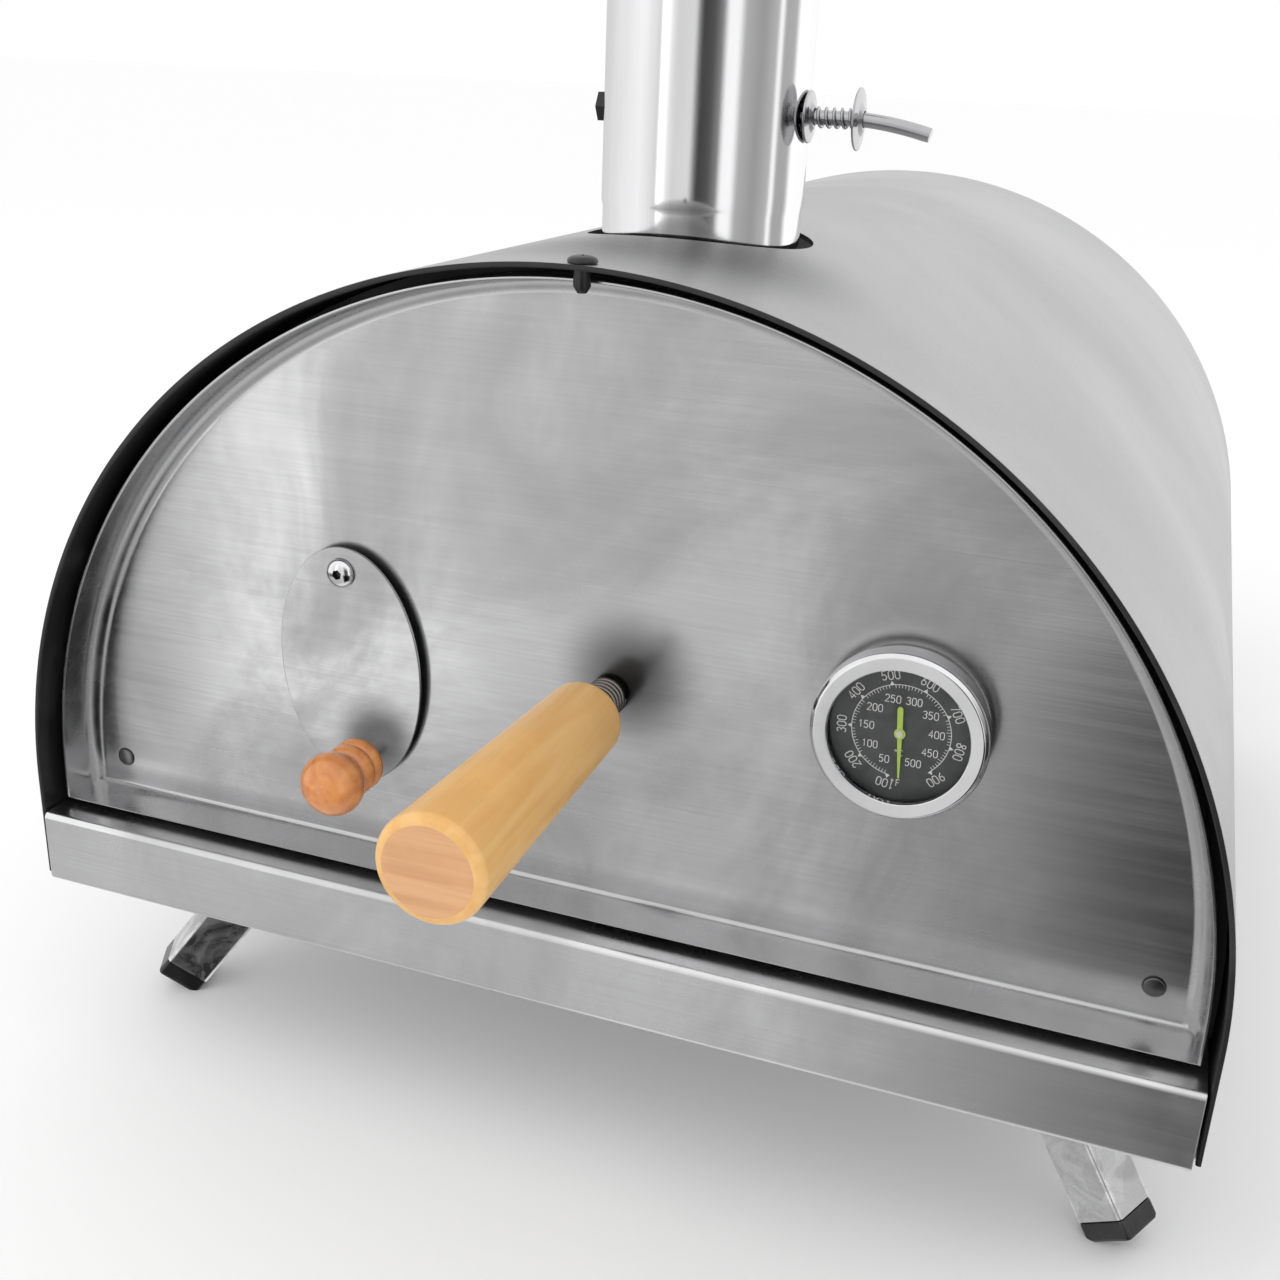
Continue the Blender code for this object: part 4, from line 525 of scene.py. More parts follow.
# painted shade on the vent cover: a dark patch up and right of the knob's root, for the knob's shadow and dark
# reflection
KNOB_SHADE = ((KNOB_PLACE.x + 0.006, FACE_Y - 0.004, KNOB_PLACE.z + 0.009), 0.006, 0.024, 0.30)
DOOR_STEEL = brushed("door_steel", (0.56, 0.56, 0.565), (0.20, 0.32), 0.22, 0.30, DOOR_SHADES)
FLANGE_STEEL = polished("flange_steel", (0.55, 0.55, 0.555), (0.20, 0.30), 0.06)
DAMPER_ZINC = polished("damper_zinc", (0.50, 0.50, 0.51), (0.12, 0.24), 0.35)
SILL_STEEL = brushed("sill_steel", (0.74, 0.74, 0.745), (0.24, 0.36), 0.16, 0.25)
VENT_STEEL = brushed("vent_steel", (0.56, 0.56, 0.565), (0.20, 0.32), 0.22, 0.10, [KNOB_SHADE])
TUBE_STEEL = polished("tube_steel", (0.82, 0.82, 0.83), (0.07, 0.15), 0.10, (1.0, 1.0, 0.10))
CHROME = polished("chrome_plate", (0.80, 0.80, 0.81), (0.05, 0.11), 0.30)
ZINC = galvanised("zinc_plate")
LEG_ZINC = galvanised("leg_zinc", (0.76, 0.76, 0.77), 95.0, (0.22, 0.46))
BLACK_OXIDE = painted("black_oxide", (0.010, 0.010, 0.011), (0.22, 0.38), 0.10, 0.02)
PANEL_BLACK = painted("panel_black", (0.018, 0.018, 0.019), (0.38, 0.56), 0.20, 0.02)
FOOT_BLACK = painted("foot_black", (0.016, 0.016, 0.017), (0.12, 0.24), 0.06, 0.02)
IRON = heated_iron("fired_iron")
HANDLE_WOOD = turned_wood("handle_wood", (0.83, 0.50, 0.185), (0.76, 0.41, 0.13), "y", 90.0, (0.34, 0.46),
                          0.16, 0.15)
HANDLE_END = turned_wood("handle_end_grain", (0.72, 0.41, 0.205), (0.62, 0.32, 0.15), "x", 130.0,
                         (0.44, 0.58), 0.25)
KNOB_WOOD = turned_wood("knob_wood", (0.74, 0.30, 0.085), (0.60, 0.21, 0.055), "y", 110.0, (0.20, 0.32),
                        0.3, 0.6)
THREAD_STEEL = polished("thread_steel", (0.22, 0.20, 0.18), (0.12, 0.22), 0.2)
STONE = baking_stone()
BLANKET = fibre_blanket()
GLASS = clear_glass()
DIAL = dial_face()
DIAL_WHITE = ink("dial_white", (0.82, 0.82, 0.80))
POINTER_GREEN = ink("pointer_green", (0.50, 0.70, 0.06), 0.42)
PIN_CREAM = ink("pin_cream", (0.74, 0.72, 0.62), 0.35)

NODE_FINISH = {
    "base_plate": ZINC, "handle_stud": ZINC, "handle_nut": ZINC, "vent_pivot_nut": ZINC, "vent_spacer": ZINC,
    "thermometer_stem": ZINC, "thermometer_nut": ZINC, "chimney_collar": ZINC, "damper_plate": ZINC,
    "front_ring": PANEL_BLACK, "rear_panel": PANEL_BLACK, "inner_liner": IRON, "inner_back_panel": IRON,
    "hearth_pan": IRON, "stone_rack": IRON, "fire_basket": IRON, "door_inner_panel": IRON,
    "pizza_stone": STONE, "insulation_arch": BLANKET, "insulation_back": BLANKET, "damper_end_nut": BLACK_OXIDE,
}
for corner in CORNERS:
    for kind in ("leg_pin_", "leg_bracket_"):
        NODE_FINISH[kind + corner] = ZINC


def paint_nodes():
    """Every CAD node that stays in view gets its node material."""
    for name, obj in frame["nodes"].items():
        finish = NODE_FINISH.get(name)
        if finish is None:
            continue
        obj.data.materials.clear()
        obj.data.materials.append(finish.material)


# ---------------------------------------------------------------- shell
def build_shell():
    """The rolled shell: satin outside, black inside and on its front edge, with the chimney's hole."""
    front, rear = SHELL_LOW.y, SHELL_HIGH.y
    bottom = SHELL_LOW.z - SPRING_Z
    edge = 0.0005
    depths = [(0.0, front + edge), (edge * 0.3, front + edge * 0.3), (edge, front),
              (SHELL_SHEET - edge, front), (SHELL_SHEET, front + edge), (SHELL_SHEET, rear - edge),
              (SHELL_SHEET - edge, rear), (edge, rear), (0.0, rear - edge)]
    black_from, black_to = 1, 7
    bm = bmesh.new()
    rings = [[bm.verts.new((x, y, SPRING_Z + z))
              for x, z in arch(SHELL_HALF - inset, SHELL_CROWN - inset, bottom, 176)] for inset, y in depths]
    for k, (ring_a, ring_b) in enumerate(zip(rings, rings[1:] + rings[:1])):
        bridge(bm, ring_a, ring_b, closed=False, material=1 if black_from <= k < black_to else 0)
    for end in (0, -1):
        bm.faces.new([ring[end] for ring in rings]).material_index = 1
    shell = piece("shell_skin", bm, (SHELL_SATIN, SHELL_BLACK), "oven", ("outer_shell",))
    hole = rod(TUBE_RADIUS + 0.0053, SHELL_HIGH.z - 0.08, SHELL_HIGH.z + 0.02, axis_z(0.0, TUBE_Y), 96)
    carve(shell, [(hole, SHELL_BLACK)])


# ---------------------------------------------------------------- door
BOTTOM_BEND = 0.42              # the bend along the door's straight bottom is tighter than round the arch


def build_door():
    """The door: a face with a soft bend into a flange all round, its vent hole and its screw holes."""
    front, back = DOOR_LOW.y, DOOR_HIGH.y
    bend, sheet, edge = 0.0078, DOOR_SHEET, 0.0003
    inner = bend - sheet
    steps = 10
    turns = [math.pi / 2 * i / steps for i in range(steps + 1)]
    outside = [(0.0, front + edge)]
    outside += [(bend * (1 - math.cos(a)), back - bend + bend * math.sin(a)) for a in turns]
    inside = [(bend - inner * math.cos(a), back - bend + inner * math.sin(a)) for a in reversed(turns)]
    lip = [(sheet, front + edge), (sheet - edge, front), (edge, front)]
    bottom = DOOR_LOW.z - SPRING_Z
    bm = bmesh.new()
    rings = []
    for inset, y in outside + inside + lip:
        outline = arch(DOOR_HALF - inset, DOOR_CROWN - inset, bottom + inset * BOTTOM_BEND, 160)
        rings.append([bm.verts.new((x, y, SPRING_Z + z)) for x, z in outline])
    back_ring, face_ring = len(outside) - 1, len(outside)
    for k, (ring_a, ring_b) in enumerate(zip(rings, rings[1:] + rings[:1])):
        if k != back_ring:
            bridge(bm, ring_a, ring_b, material=1)
    bm.faces.new(rings[back_ring])
    bm.faces.new(rings[face_ring])
    door = piece("door_skin", bm, (DOOR_STEEL, FLANGE_STEEL), "door", ("door_pan",), 34.0)
    past = 0.02
    cover = middle("vent_cover")
    oval = [(cover.x + 0.0213 * math.cos(a), cover.z - 0.006 + 0.0338 * math.sin(a)) for a in circle(72)]
    cuts = [(prism_y(oval, FACE_Y - past, back + past), None)]
    for node, radius in (("vent_pivot_nut", 0.0028), ("handle_nut", 0.0043), ("thermometer_nut", 0.0033)):
        place = middle(node)
        cuts.append((rod(radius, FACE_Y - past, back + past, axis_y(place.x, place.z)), None))
    carve(door, cuts, 34.0)


def build_rivets():
    seat = FACE_Y - 0.00005
    shank = 0.0020
    for side in ("left", "right"):
        node = "door_rivet_" + side
        low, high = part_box(node)
        place = (low + high) / 2
        r = (high.x - low.x) / 2
        profile = rounded([(0.0, seat - 0.0013), (r, seat - 0.0010, 0.0008), (r, seat), (shank, seat),
                           (shank, high.y, 0.0003), (0.0, high.y)], 5)
        turned = lathe(profile, 48, axis_y(place.x, place.z))
        piece("rivet_" + side, turned, DOOR_STEEL, "door", (node,))


def build_sill():
    """The bent front sill: lower lip, face, and the shelf that runs back under the door."""
    low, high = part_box("front_sill")
    sheet, bend, steps, edge, lip, parts = 0.0012, 0.0026, 8, 0.0003, 0.018, 24
    corners = [(low.y + lip, low.z), (low.y, low.z), (low.y, high.z), (high.y, high.z)]
    outer = [Vector(corners[0])]
    for before, here, after in zip(corners, corners[1:], corners[2:]):
        here = Vector(here)
        a = (Vector(before) - here).normalized()
        b = (Vector(after) - here).normalized()
        centre = here + (a + b) * bend
        for i in range(steps + 1):
            angle = math.pi / 2 * i / steps
            outer.append(centre - b * bend * math.cos(angle) - a * bend * math.sin(angle))
    outer.append(Vector(corners[-1]))
    inner = []
    for i, point in enumerate(outer):
        along = (outer[min(i + 1, len(outer) - 1)] - outer[max(i - 1, 0)]).normalized()
        inner.append(point + Vector((along.y, -along.x)) * sheet)
    centre_line = [(a + b) / 2 for a, b in zip(outer, inner)]
    outline = list(zip(outer + inner[::-1], centre_line + centre_line[::-1]))
    stations = [low.x]
    stations += [low.x + edge + (high.x - low.x - 2 * edge) * i / parts for i in range(parts + 1)]
    stations.append(high.x)
    rings = []
    for x in stations:
        shrink = 0.35 if x in (low.x, high.x) else 0.0
        rings.append([(x, *p.lerp(m, shrink)) for p, m in outline])
    piece("sill_skin", loft(rings), SILL_STEEL, "oven", ("front_sill",), 30.0)


# ---------------------------------------------------------------- handle
def build_handle():
    """The turned grip and the wound wire collar between it and the door."""
    low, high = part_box("door_handle")
    x, z = (low.x + high.x) / 2, (low.z + high.z) / 2
    tip, root = low.y, high.y
    tip_radius, root_radius, stud_radius, socket = (high.x - low.x) / 2, 0.0148, 0.0046, 0.03
    bored = root - socket
    profile = rounded([(0.0, tip), (tip_radius, tip, 0.0034), (root_radius, root, 0.0045),
                       (stud_radius, root, 0.0006), (stud_radius, bored, 0.0), (0.0, bored)], 8)
    dense = []
    for a, b in zip(profile, profile[1:]):
        dense.append(a)
        pieces = int((Vector(a) - Vector(b)).length // 0.006)
        dense += [tuple(Vector(a).lerp(Vector(b), (i + 1) / (pieces + 1))) for i in range(pieces)]
    dense.append(profile[-1])
    bm = lathe(dense, 96, axis_y(x, z))
    for face in bm.faces:
        if all(vert.co.y < tip + 0.00005 for vert in face.verts):
            face.material_index = 1
    grip = piece("handle_grip", bm, (HANDLE_WOOD, HANDLE_END), "door", ("door_handle",), 50.0)
    grip.visible_glossy = False

    low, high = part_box("handle_collar")
    radius = (high.x - low.x) / 2
    start, end = low.y, high.y
    wire, turns, steps = 0.0011, 8, 40
    path = []
    for i in range(turns * steps + 1):
        angle = 2 * math.pi * i / steps
        y = start + wire + (end - start - 2 * wire) * i / (turns * steps)
        path.append((x + (radius - wire) * math.cos(angle), y, z + (radius - wire) * math.sin(angle)))
    core, gap = radius - 1.7 * wire, 0.0002
    bm = lathe([(0.0044, start + gap), (core, start + gap), (core, end - gap), (0.0044, end - gap)], 48,
               axis_y(x, z), tube_along(path, wire, 12))
    piece("handle_spring", bm, THREAD_STEEL, "door", ("handle_collar",), 50.0)


# ---------------------------------------------------------------- vent cover and knob
def build_vent():
    """The oval cover, a few degrees off upright as it hangs, and its pivot screw with a hexagon socket."""
    low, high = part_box("vent_cover")
    cover = (low + high) / 2
    pivot = Vector(JOINTS["vent_swing"]["pos_m"])
    knob = middle("vent_knob")
    tilt = math.radians(3.5)
    cos, sin = math.cos(tilt), math.sin(tilt)
    half_width, half_height, edge = 0.0318, 0.0503, 0.0004
    rings = []
    for inset, y in ((edge, low.y), (edge * 0.3, low.y + edge * 0.3), (0.0, low.y + edge),
                     (0.0, high.y - edge), (edge, high.y)):
        oval = [((half_width - inset) * math.cos(a), (half_height - inset) * math.sin(a))
                for a in circle(128)]
        rings.append([(cover.x + u * cos - v * sin, y, cover.z + u * sin + v * cos) for u, v in oval])
    disc = piece("vent_disc", loft(rings), VENT_STEEL, "vent", ("vent_cover",))
    carve(disc, [(rod(0.0026, low.y - 0.01, high.y + 0.01, axis_y(place.x, place.z)), None)
                 for place in (pivot, knob)])

    head_low, head_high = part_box("vent_pivot_screw")
    seat = low.y - 0.0003
    height = seat - head_low.y
    head, shank, socket = 0.0060, 0.0025, 0.0021
    arc = [math.pi / 2 * i / 12 for i in range(12)]
    profile = [(head * math.sin(a), seat - height * math.cos(a) ** 0.85) for a in arc]
    profile += [(head, seat - 0.0005), (head - 0.0001, seat), (shank, seat), (shank, head_high.y),
                (0.0, head_high.y)]
    screw = piece("pivot_screw", lathe(profile, 64, axis_y(pivot.x, pivot.z)), CHROME, "door",
                  ("vent_pivot_screw",))
    corners = [math.pi * (i / 3 + 0.1) for i in range(6)]
    hexagon = [(pivot.x + socket * math.cos(a), pivot.z + socket * math.sin(a)) for a in corners]
    carve(screw, [(prism_y(hexagon, head_low.y - 0.004, head_low.y + 0.0020), BLACK_OXIDE)], 30.0)
    build_knob(knob)


def build_knob(place):
    """The turned knob, a ball on two beads, and the screw that holds it to the cover."""
    low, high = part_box("vent_knob")
    base = high.y
    ball_radius, ball_depth = (high.x - low.x) / 2, 0.0107
    ball_middle = low.y + ball_depth
    profile = []
    for i in range(25):
        angle = math.pi * 0.80 * i / 24
        flat = 1.0 if angle > math.pi / 2 else 0.97 + 0.03 * angle / (math.pi / 2)
        profile.append((ball_radius * math.sin(angle) ** 0.94 * flat if angle > 0 else 0.0,
                        ball_middle - ball_depth * math.cos(angle)))
    neck = profile[-1]
    beads = [(0.0092, 0.0142), (0.0101, 0.0133), (0.0109, 0.0118), (0.0111, 0.0102), (0.0109, 0.0088),
             (0.0102, 0.0077), (0.0095, 0.0070), (0.0101, 0.0063), (0.0109, 0.0051), (0.0111, 0.0037),
             (0.0108, 0.0022), (0.0101, 0.0010), (0.0092, 0.0002), (0.0088, 0.0)]
    bore, bore_depth = 0.0028, 0.0095
    profile.append((neck[0] * 0.985, neck[1] + 0.0006))
    profile += [(radius, base - back) for radius, back in beads]
    profile += [(bore, base), (bore, base - bore_depth), (0.0, base - bore_depth)]
    knob = piece("knob_turned", lathe(profile, 80, axis_y(place.x, place.z)), KNOB_WOOD, "vent",
                 ("vent_knob",), 50.0)
    knob.visible_glossy = False
    low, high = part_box("vent_knob_screw")
    cover_low, cover_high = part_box("vent_cover")
    gap = 0.0003
    front, back, behind = base + gap, cover_low.y - gap, cover_high.y + gap
    r, flange = 0.0024, 0.0046
    profile = rounded([(0.0, low.y), (r, low.y, 0.0004), (r, front, 0.0), (flange, front, 0.0004),
                       (flange, back, 0.0004), (r, back, 0.0), (r, behind, 0.0), (flange, behind, 0.0003),
                       (flange, high.y, 0.0004), (0.0, high.y)], 4)
    piece("knob_screw", lathe(profile, 48, axis_y(place.x, place.z)), CHROME, "vent",
          ("vent_knob_screw",))


# ---------------------------------------------------------------- thermometer
DIGIT_STROKES = {              # x, y, x, y ... along each stroke, in hundredths of the height
    "0": [(15, 0, 0, 20, 0, 80, 15, 100, 45, 100, 60, 80, 60, 20, 45, 0, 15, 0)],
    "1": [(12, 78, 34, 100, 34, 0)],
    "2": [(0, 80, 15, 100, 45, 100, 60, 80, 55, 60, 0, 0, 62, 0)],
    "3": [(2, 88, 20, 100, 45, 100, 58, 80, 45, 56, 25, 54), (45, 54, 60, 28, 45, 0, 15, 0, 0, 14)],
    "4": [(45, 0, 45, 100, 0, 30, 64, 30)],
    "5": [(56, 100, 8, 100, 2, 56, 38, 62, 60, 34, 42, 0, 14, 0, 0, 12)],
    "6": [(50, 100, 12, 66, 0, 30, 14, 0, 44, 0, 60, 26, 46, 54, 10, 50)],
    "7": [(0, 100, 62, 100, 24, 0)],
    "8": [(30, 54, 6, 72, 14, 100, 46, 100, 54, 72, 30, 54, 0, 28, 12, 0, 48, 0, 60, 28, 30, 54)],
    "9": [(50, 50, 14, 46, 0, 74, 16, 100, 46, 100, 60, 70, 48, 34, 10, 0)],
    "C": [(60, 84, 42, 100, 18, 100, 0, 80, 0, 20, 18, 0, 42, 0, 60, 16)],
    "F": [(0, 0, 0, 100, 56, 100), (0, 54, 46, 54)],
    "o": [(10, 66, 0, 78, 10, 92, 26, 92, 34, 78, 26, 66, 10, 66)],
}


class DialPrint:
    """Flat printed marks on the dial, drawn as thin raised strips in the dial's plane."""

    def __init__(self, x, z, y):
        self.x, self.z, self.y = x, z, y
        self.bm = bmesh.new()
        self.layer = 0

    def point(self, u, v):
        return (self.x + u, self.y - self.layer * 2e-6, self.z + v)

    def polygon(self, points):
        self.layer = (self.layer + 1) % 9
        self.bm.faces.new([self.bm.verts.new(self.point(u, v)) for u, v in points])

    def stroke(self, points, width):
        """A polyline of even width with mitred joins."""
        path = [Vector(p) for p in points]
        left, right = [], []
        for i, here in enumerate(path):
            before = (here - path[i - 1]).normalized() if i else None
            after = (path[i + 1] - here).normalized() if i < len(path) - 1 else None
            along = ((before or after) + (after or before)).normalized()
            normal = Vector((-along.y, along.x))
            side = Vector((-(after or before).y, (after or before).x))
            half = width / 2 / max(normal.dot(side), 0.55)
            left.append(here + normal * half)
            right.append(here - normal * half)
        for i in range(len(path) - 1):
            self.polygon((left[i], left[i + 1], right[i + 1], right[i]))

    def arc(self, radius, start, end, width, steps=96):
        """A ring section; angles run clockwise from the top, in degrees."""
        points = []
        for i in range(steps + 1):
            angle = math.radians(start + (end - start) * i / steps)
            points.append((math.sin(angle), math.cos(angle)))
        for (a, b), (c, d) in zip(points, points[1:]):
            r, s = radius - width / 2, radius + width / 2
            self.polygon(((a * r, b * r), (a * s, b * s), (c * s, d * s), (c * r, d * r)))

    def text(self, label, angle, radius, height, weight, turn):
        """Digits centred at a clockwise angle and a radius, turned by turn degrees clockwise."""
        advance, letter_width = 0.86, 0.6
        width = advance * (len(label) - 1) + letter_width
        middle_u = radius * math.sin(math.radians(angle))
        middle_v = radius * math.cos(math.radians(angle))
        cos, sin = math.cos(math.radians(-turn)), math.sin(math.radians(-turn))
        for i, letter in enumerate(label):
            for stroke in DIGIT_STROKES[letter]:
                path = []
                for a, b in zip(stroke[::2], stroke[1::2]):
                    u = (a / 100 + advance * i - width / 2) * height * 0.86
                    v = (b / 100 - 0.5) * height
                    path.append((middle_u + u * cos - v * sin, middle_v + u * sin + v * cos))
                self.stroke(path, weight)


def build_thermometer():
    """Bezel, glass, cup and printed dial."""
    low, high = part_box("thermometer_bezel")
    x, z = (low.x + high.x) / 2, (low.z + high.z) / 2
    r = (high.x - low.x) / 2
    window, wall = 0.0252, 0.0009
    profile = rounded([(window, low.y + 0.0002, 0.0004), (r - 0.0016, low.y, 0.0010),
                       (r, low.y + 0.0016, 0.0016), (r, high.y, 0.0008), (r - wall, high.y, 0.0),
                       (r - wall, low.y + 0.0036, 0.0), (window, low.y + 0.0026, 0.0002)], 8)
    turned = lathe(profile, 128, axis_y(x, z))
    piece("bezel_ring", turned, CHROME, "door", ("thermometer_bezel",), 35.0)

    low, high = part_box("thermometer_lens")
    r, edge = (high.x - low.x) / 2, 0.0003
    profile = [(0.0, low.y), (r - edge, low.y), (r, low.y + edge), (r, high.y - edge), (r - edge, high.y),
               (0.0, high.y)]
    piece("lens_disc", lathe(profile, 96, axis_y(x, z)), GLASS, "door", ("thermometer_lens",))

    low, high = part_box("thermometer_case")
    r, wall = (high.x - low.x) / 2, 0.0008
    cup = high.y - 0.0006
    profile = rounded([(r - wall, low.y, 0.0002), (r, low.y, 0.0002), (r, high.y, 0.0014), (0.0, high.y),
                       (0.0, cup), (r - wall, cup, 0.0009)], 6)
    piece("case_cup", lathe(profile, 96, axis_y(x, z)), CHROME, "door", ("thermometer_case",), 35.0)

    low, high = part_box("thermometer_dial")
    disc = rod((high.x - low.x) / 2, low.y, high.y, axis_y(x, z), 96)
    piece("dial_disc", disc, DIAL, "door", ("thermometer_dial",))
    print_dial(DialPrint(x, z, low.y - 0.00003), window * 0.99)
    build_pointer(x, z)


def print_dial(marks, ring):
    """Two generic scales: hundreds round the rim with ticks, and fifties inside them."""
    first, step, line = 190.0, 38.6, 0.705
    for i in range(9):
        angle = first + step * i
        marks.text(str(100 * (i + 1)), angle, ring * 0.850, ring * 0.125, 0.00036, angle)
        tick, wide = math.radians(angle), math.radians(2.8)
        tip, foot = ring * 0.765, ring * line
        marks.polygon(((foot * math.sin(tick - wide), foot * math.cos(tick - wide)),
                       (foot * math.sin(tick + wide), foot * math.cos(tick + wide)),
                       (tip * math.sin(tick), tip * math.cos(tick))))
        for part in range(1, 10 if i < 8 else 1):
            sub = math.radians(angle + step * part / 10)
            u, v = math.sin(sub), math.cos(sub)
            inner = 0.635 if part == 5 else 0.655
            marks.stroke(((u * ring * inner, v * ring * inner), (u * ring * 0.70, v * ring * 0.70)), 0.00020)
    marks.arc(ring * line, first, first + step * 8, 0.00026, 120)
    for i in range(10):
        marks.text(str(50 * (i + 1)), 203.0 + 34.6 * i, ring * 0.50, ring * 0.108, 0.00030, 0.0)
    marks.text("oF", 180.0, ring * 0.80, ring * 0.10, 0.00026, 0.0)
    marks.text("oC", 180.0, ring * 0.33, ring * 0.09, 0.00024, 0.0)
    piece("dial_marks", marks.bm, DIAL_WHITE, "door", (), 0.0, recalc=False)


def build_pointer(x, z):
    """The green needle, leaning a few degrees, and its pin."""
    low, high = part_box("thermometer_pointer")
    front, back = low.y, min(low.y + 0.0005, high.y)
    tip, tail = z - low.z - 0.0002, high.z - z
    lean = math.radians(4.0)
    cos, sin = math.cos(lean), math.sin(lean)
    half, hub_radius, pin = 0.0010, 0.0020, 0.0013
    outline = [(0.00030, -tip), (0.0008, -hub_radius * 0.9)]
    outline += [(hub_radius * math.sin(a), -hub_radius * math.cos(a))
                for a in (0.5 + (math.pi - 1.0) * i / 10 for i in range(11))]
    outline += [(half * math.cos(a), tail - half + half * math.sin(a))
                for a in (math.pi / 2 * i / 5 for i in range(6))]
    outline += [(-u, v) for u, v in reversed(outline)]
    blade = prism_y([(x + u * cos - v * sin, z + u * sin + v * cos) for u, v in outline], front + 0.0001,
                    back + 0.0001)
    needle = piece("pointer_needle", blade, POINTER_GREEN, "pointer",
                   ("thermometer_pointer",))
    hub = rounded([(0.0, front - 0.0004), (pin, front - 0.0004, 0.0003), (pin, back + 0.0002),
                   (0.0008, back + 0.0002), (0.0008, high.y), (0.0, high.y)], 4)
    carve(needle, [(lathe(hub, 40, axis_y(x, z)), PIN_CREAM)], 40.0, "UNION")


# ---------------------------------------------------------------- catch
def build_catch():
    """The catch screw's low domed head with a cross slot, and the tapered end that holds the door."""
    low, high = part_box("catch_screw")
    x, y = (low.x + high.x) / 2, (low.y + high.y) / 2
    head, shank, edge = (high.x - low.x) / 2, 0.0030, 0.0004
    seat, top = SHELL_HIGH.z + 0.0001, high.z
    profile = [(0.0, low.z), (0.0016, low.z), (shank, low.z + 0.0022), (shank, seat), (head - 0.0003, seat),
               (head, seat + edge)]
    for i in range(1, 12):
        angle = math.pi / 2 * i / 12
        profile.append((head * math.cos(angle) ** 0.6,
                        seat + edge + (top - seat - 2 * edge) * math.sin(angle)))
    profile.append((0.0, top - edge))
    screw = piece("catch_head", lathe(profile, 64, axis_z(x, y)), BLACK_OXIDE, "oven",
                  ("catch_screw",))
    half, thin = 0.0026, 0.00055
    cuts = []
    for turn in (0.35, 0.35 + math.pi / 2):
        cos, sin = math.cos(turn), math.sin(turn)
        slot = [(u * cos - v * sin, u * sin + v * cos)
                for u, v in ((-half, -thin), (half, -thin), (half, thin), (-half, thin))]
        cuts.append((loft([[(x + a * share, y + b * share, height) for a, b in slot]
                           for share, height in ((0.5, top - 0.0016), (1.0, top + 0.002))]), BLACK_OXIDE))
    carve(screw, cuts, 35.0)


# ---------------------------------------------------------------- chimney, cap and damper
def build_chimney():
    """The tube, with a slight step low down and a hole on each side for the damper's rod."""
    wall, edge, step, below = 0.0012, 0.0004, 0.006, 0.0006
    bottom, top, r = TUBE_LOW.z, TUBE_HIGH.z, TUBE_RADIUS
    swage = SHELL_HIGH.z + 0.010
    straight = swage + step
    profile = [(r - below, bottom), (r - below, swage - 0.0022), (r, swage), (r, straight)]
    profile += [(r, straight + (top - 0.0005 - straight) * i / 18) for i in range(1, 19)]
    profile += [(r - edge, top), (r - wall + 0.0002, top), (r - wall, top - edge)]
    profile += [(r - wall, top - (top - bottom) * i / 8) for i in range(1, 9)]
    turned = lathe(profile, 160, axis_z(0.0, TUBE_Y))
    tube = piece("chimney_pipe", turned, TUBE_STEEL, "oven", ("chimney_tube",), 30.0)
    axle = Vector(JOINTS["damper_turn"]["pos_m"])
    carve(tube, [(rod(0.0033, -0.06, 0.06, axis_x(axle.y, axle.z)), None)], 30.0)


def build_damper():
    """Two domed washers, the spring between them, and the rod with its bent end."""
    axle = Vector(JOINTS["damper_turn"]["pos_m"])
    y, z = axle.y, axle.z
    for node, name, rim in (("damper_washer_inner", "spring_washer", 0.0),
                            ("damper_washer_outer", "outer_washer", 0.0004)):
        low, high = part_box(node)
        r = (high.z - low.z) / 2
        near, far = low.x, high.x
        outline = [(0.0032, near + 0.0010), (r * 0.55, near + 0.0006), (r - 0.0008, near + rim, 0.0002),
                   (r, near + 0.0004, 0.0003), (r - 0.0002, near + 0.0012, 0.0004),
                   (r * 0.55, near + 0.0017, 0.003), (0.0040, far, 0.0006), (0.0032, far, 0.0002)]
        piece(name, lathe(rounded(outline, 5), 96, axis_x(y, z)), DAMPER_ZINC, "damper", (node,),
              35.0)

    low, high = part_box("damper_spring")
    wire, turns, steps = 0.00062, 5, 44
    radius = (high.z - low.z) / 2 - wire
    start, end = low.x + wire, high.x - wire
    flat = 0.07                 # the share of the coil at each end that runs flat
    path = []
    for i in range(turns * steps + 1):
        share = i / (turns * steps)
        angle = 2 * math.pi * i / steps
        if share < flat:
            run = share * share / (2 * flat)
        elif share > 1 - flat:
            run = 1 - flat - (1 - share) ** 2 / (2 * flat)
        else:
            run = share - flat / 2
        path.append((start + (end - start) * run / (1 - flat), y + radius * math.cos(angle),
                     z + radius * math.sin(angle)))
    coil = tube_along(path, wire, 10)
    piece("spring_coil", coil, DAMPER_ZINC, "damper", ("damper_spring",), 60.0)

    low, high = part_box("damper_rod")
    r = high.y - y
    tip, knee, entry = high.x - 0.0024, 0.060, low.x + 0.004
    droop = (z - (low.z + r)) * 0.8
    path = [(low.x, y, z), (low.x + 0.0004, y, z), (entry, y, z)]
    path += [(entry + (knee - entry) * i / 10, y, z) for i in range(1, 11)]
    path += [(knee + (tip - knee) * i / 16, y, z - droop * (i / 16) ** 1.7) for i in range(1, 17)]
    radii = [r - 0.0004] + [r] * (len(path) - 2) + [r - 0.0001]
    bar = tube_along(path, r, 28, radii)
    piece("damper_axle", bar, DAMPER_ZINC, "damper", ("damper_rod",), 35.0)


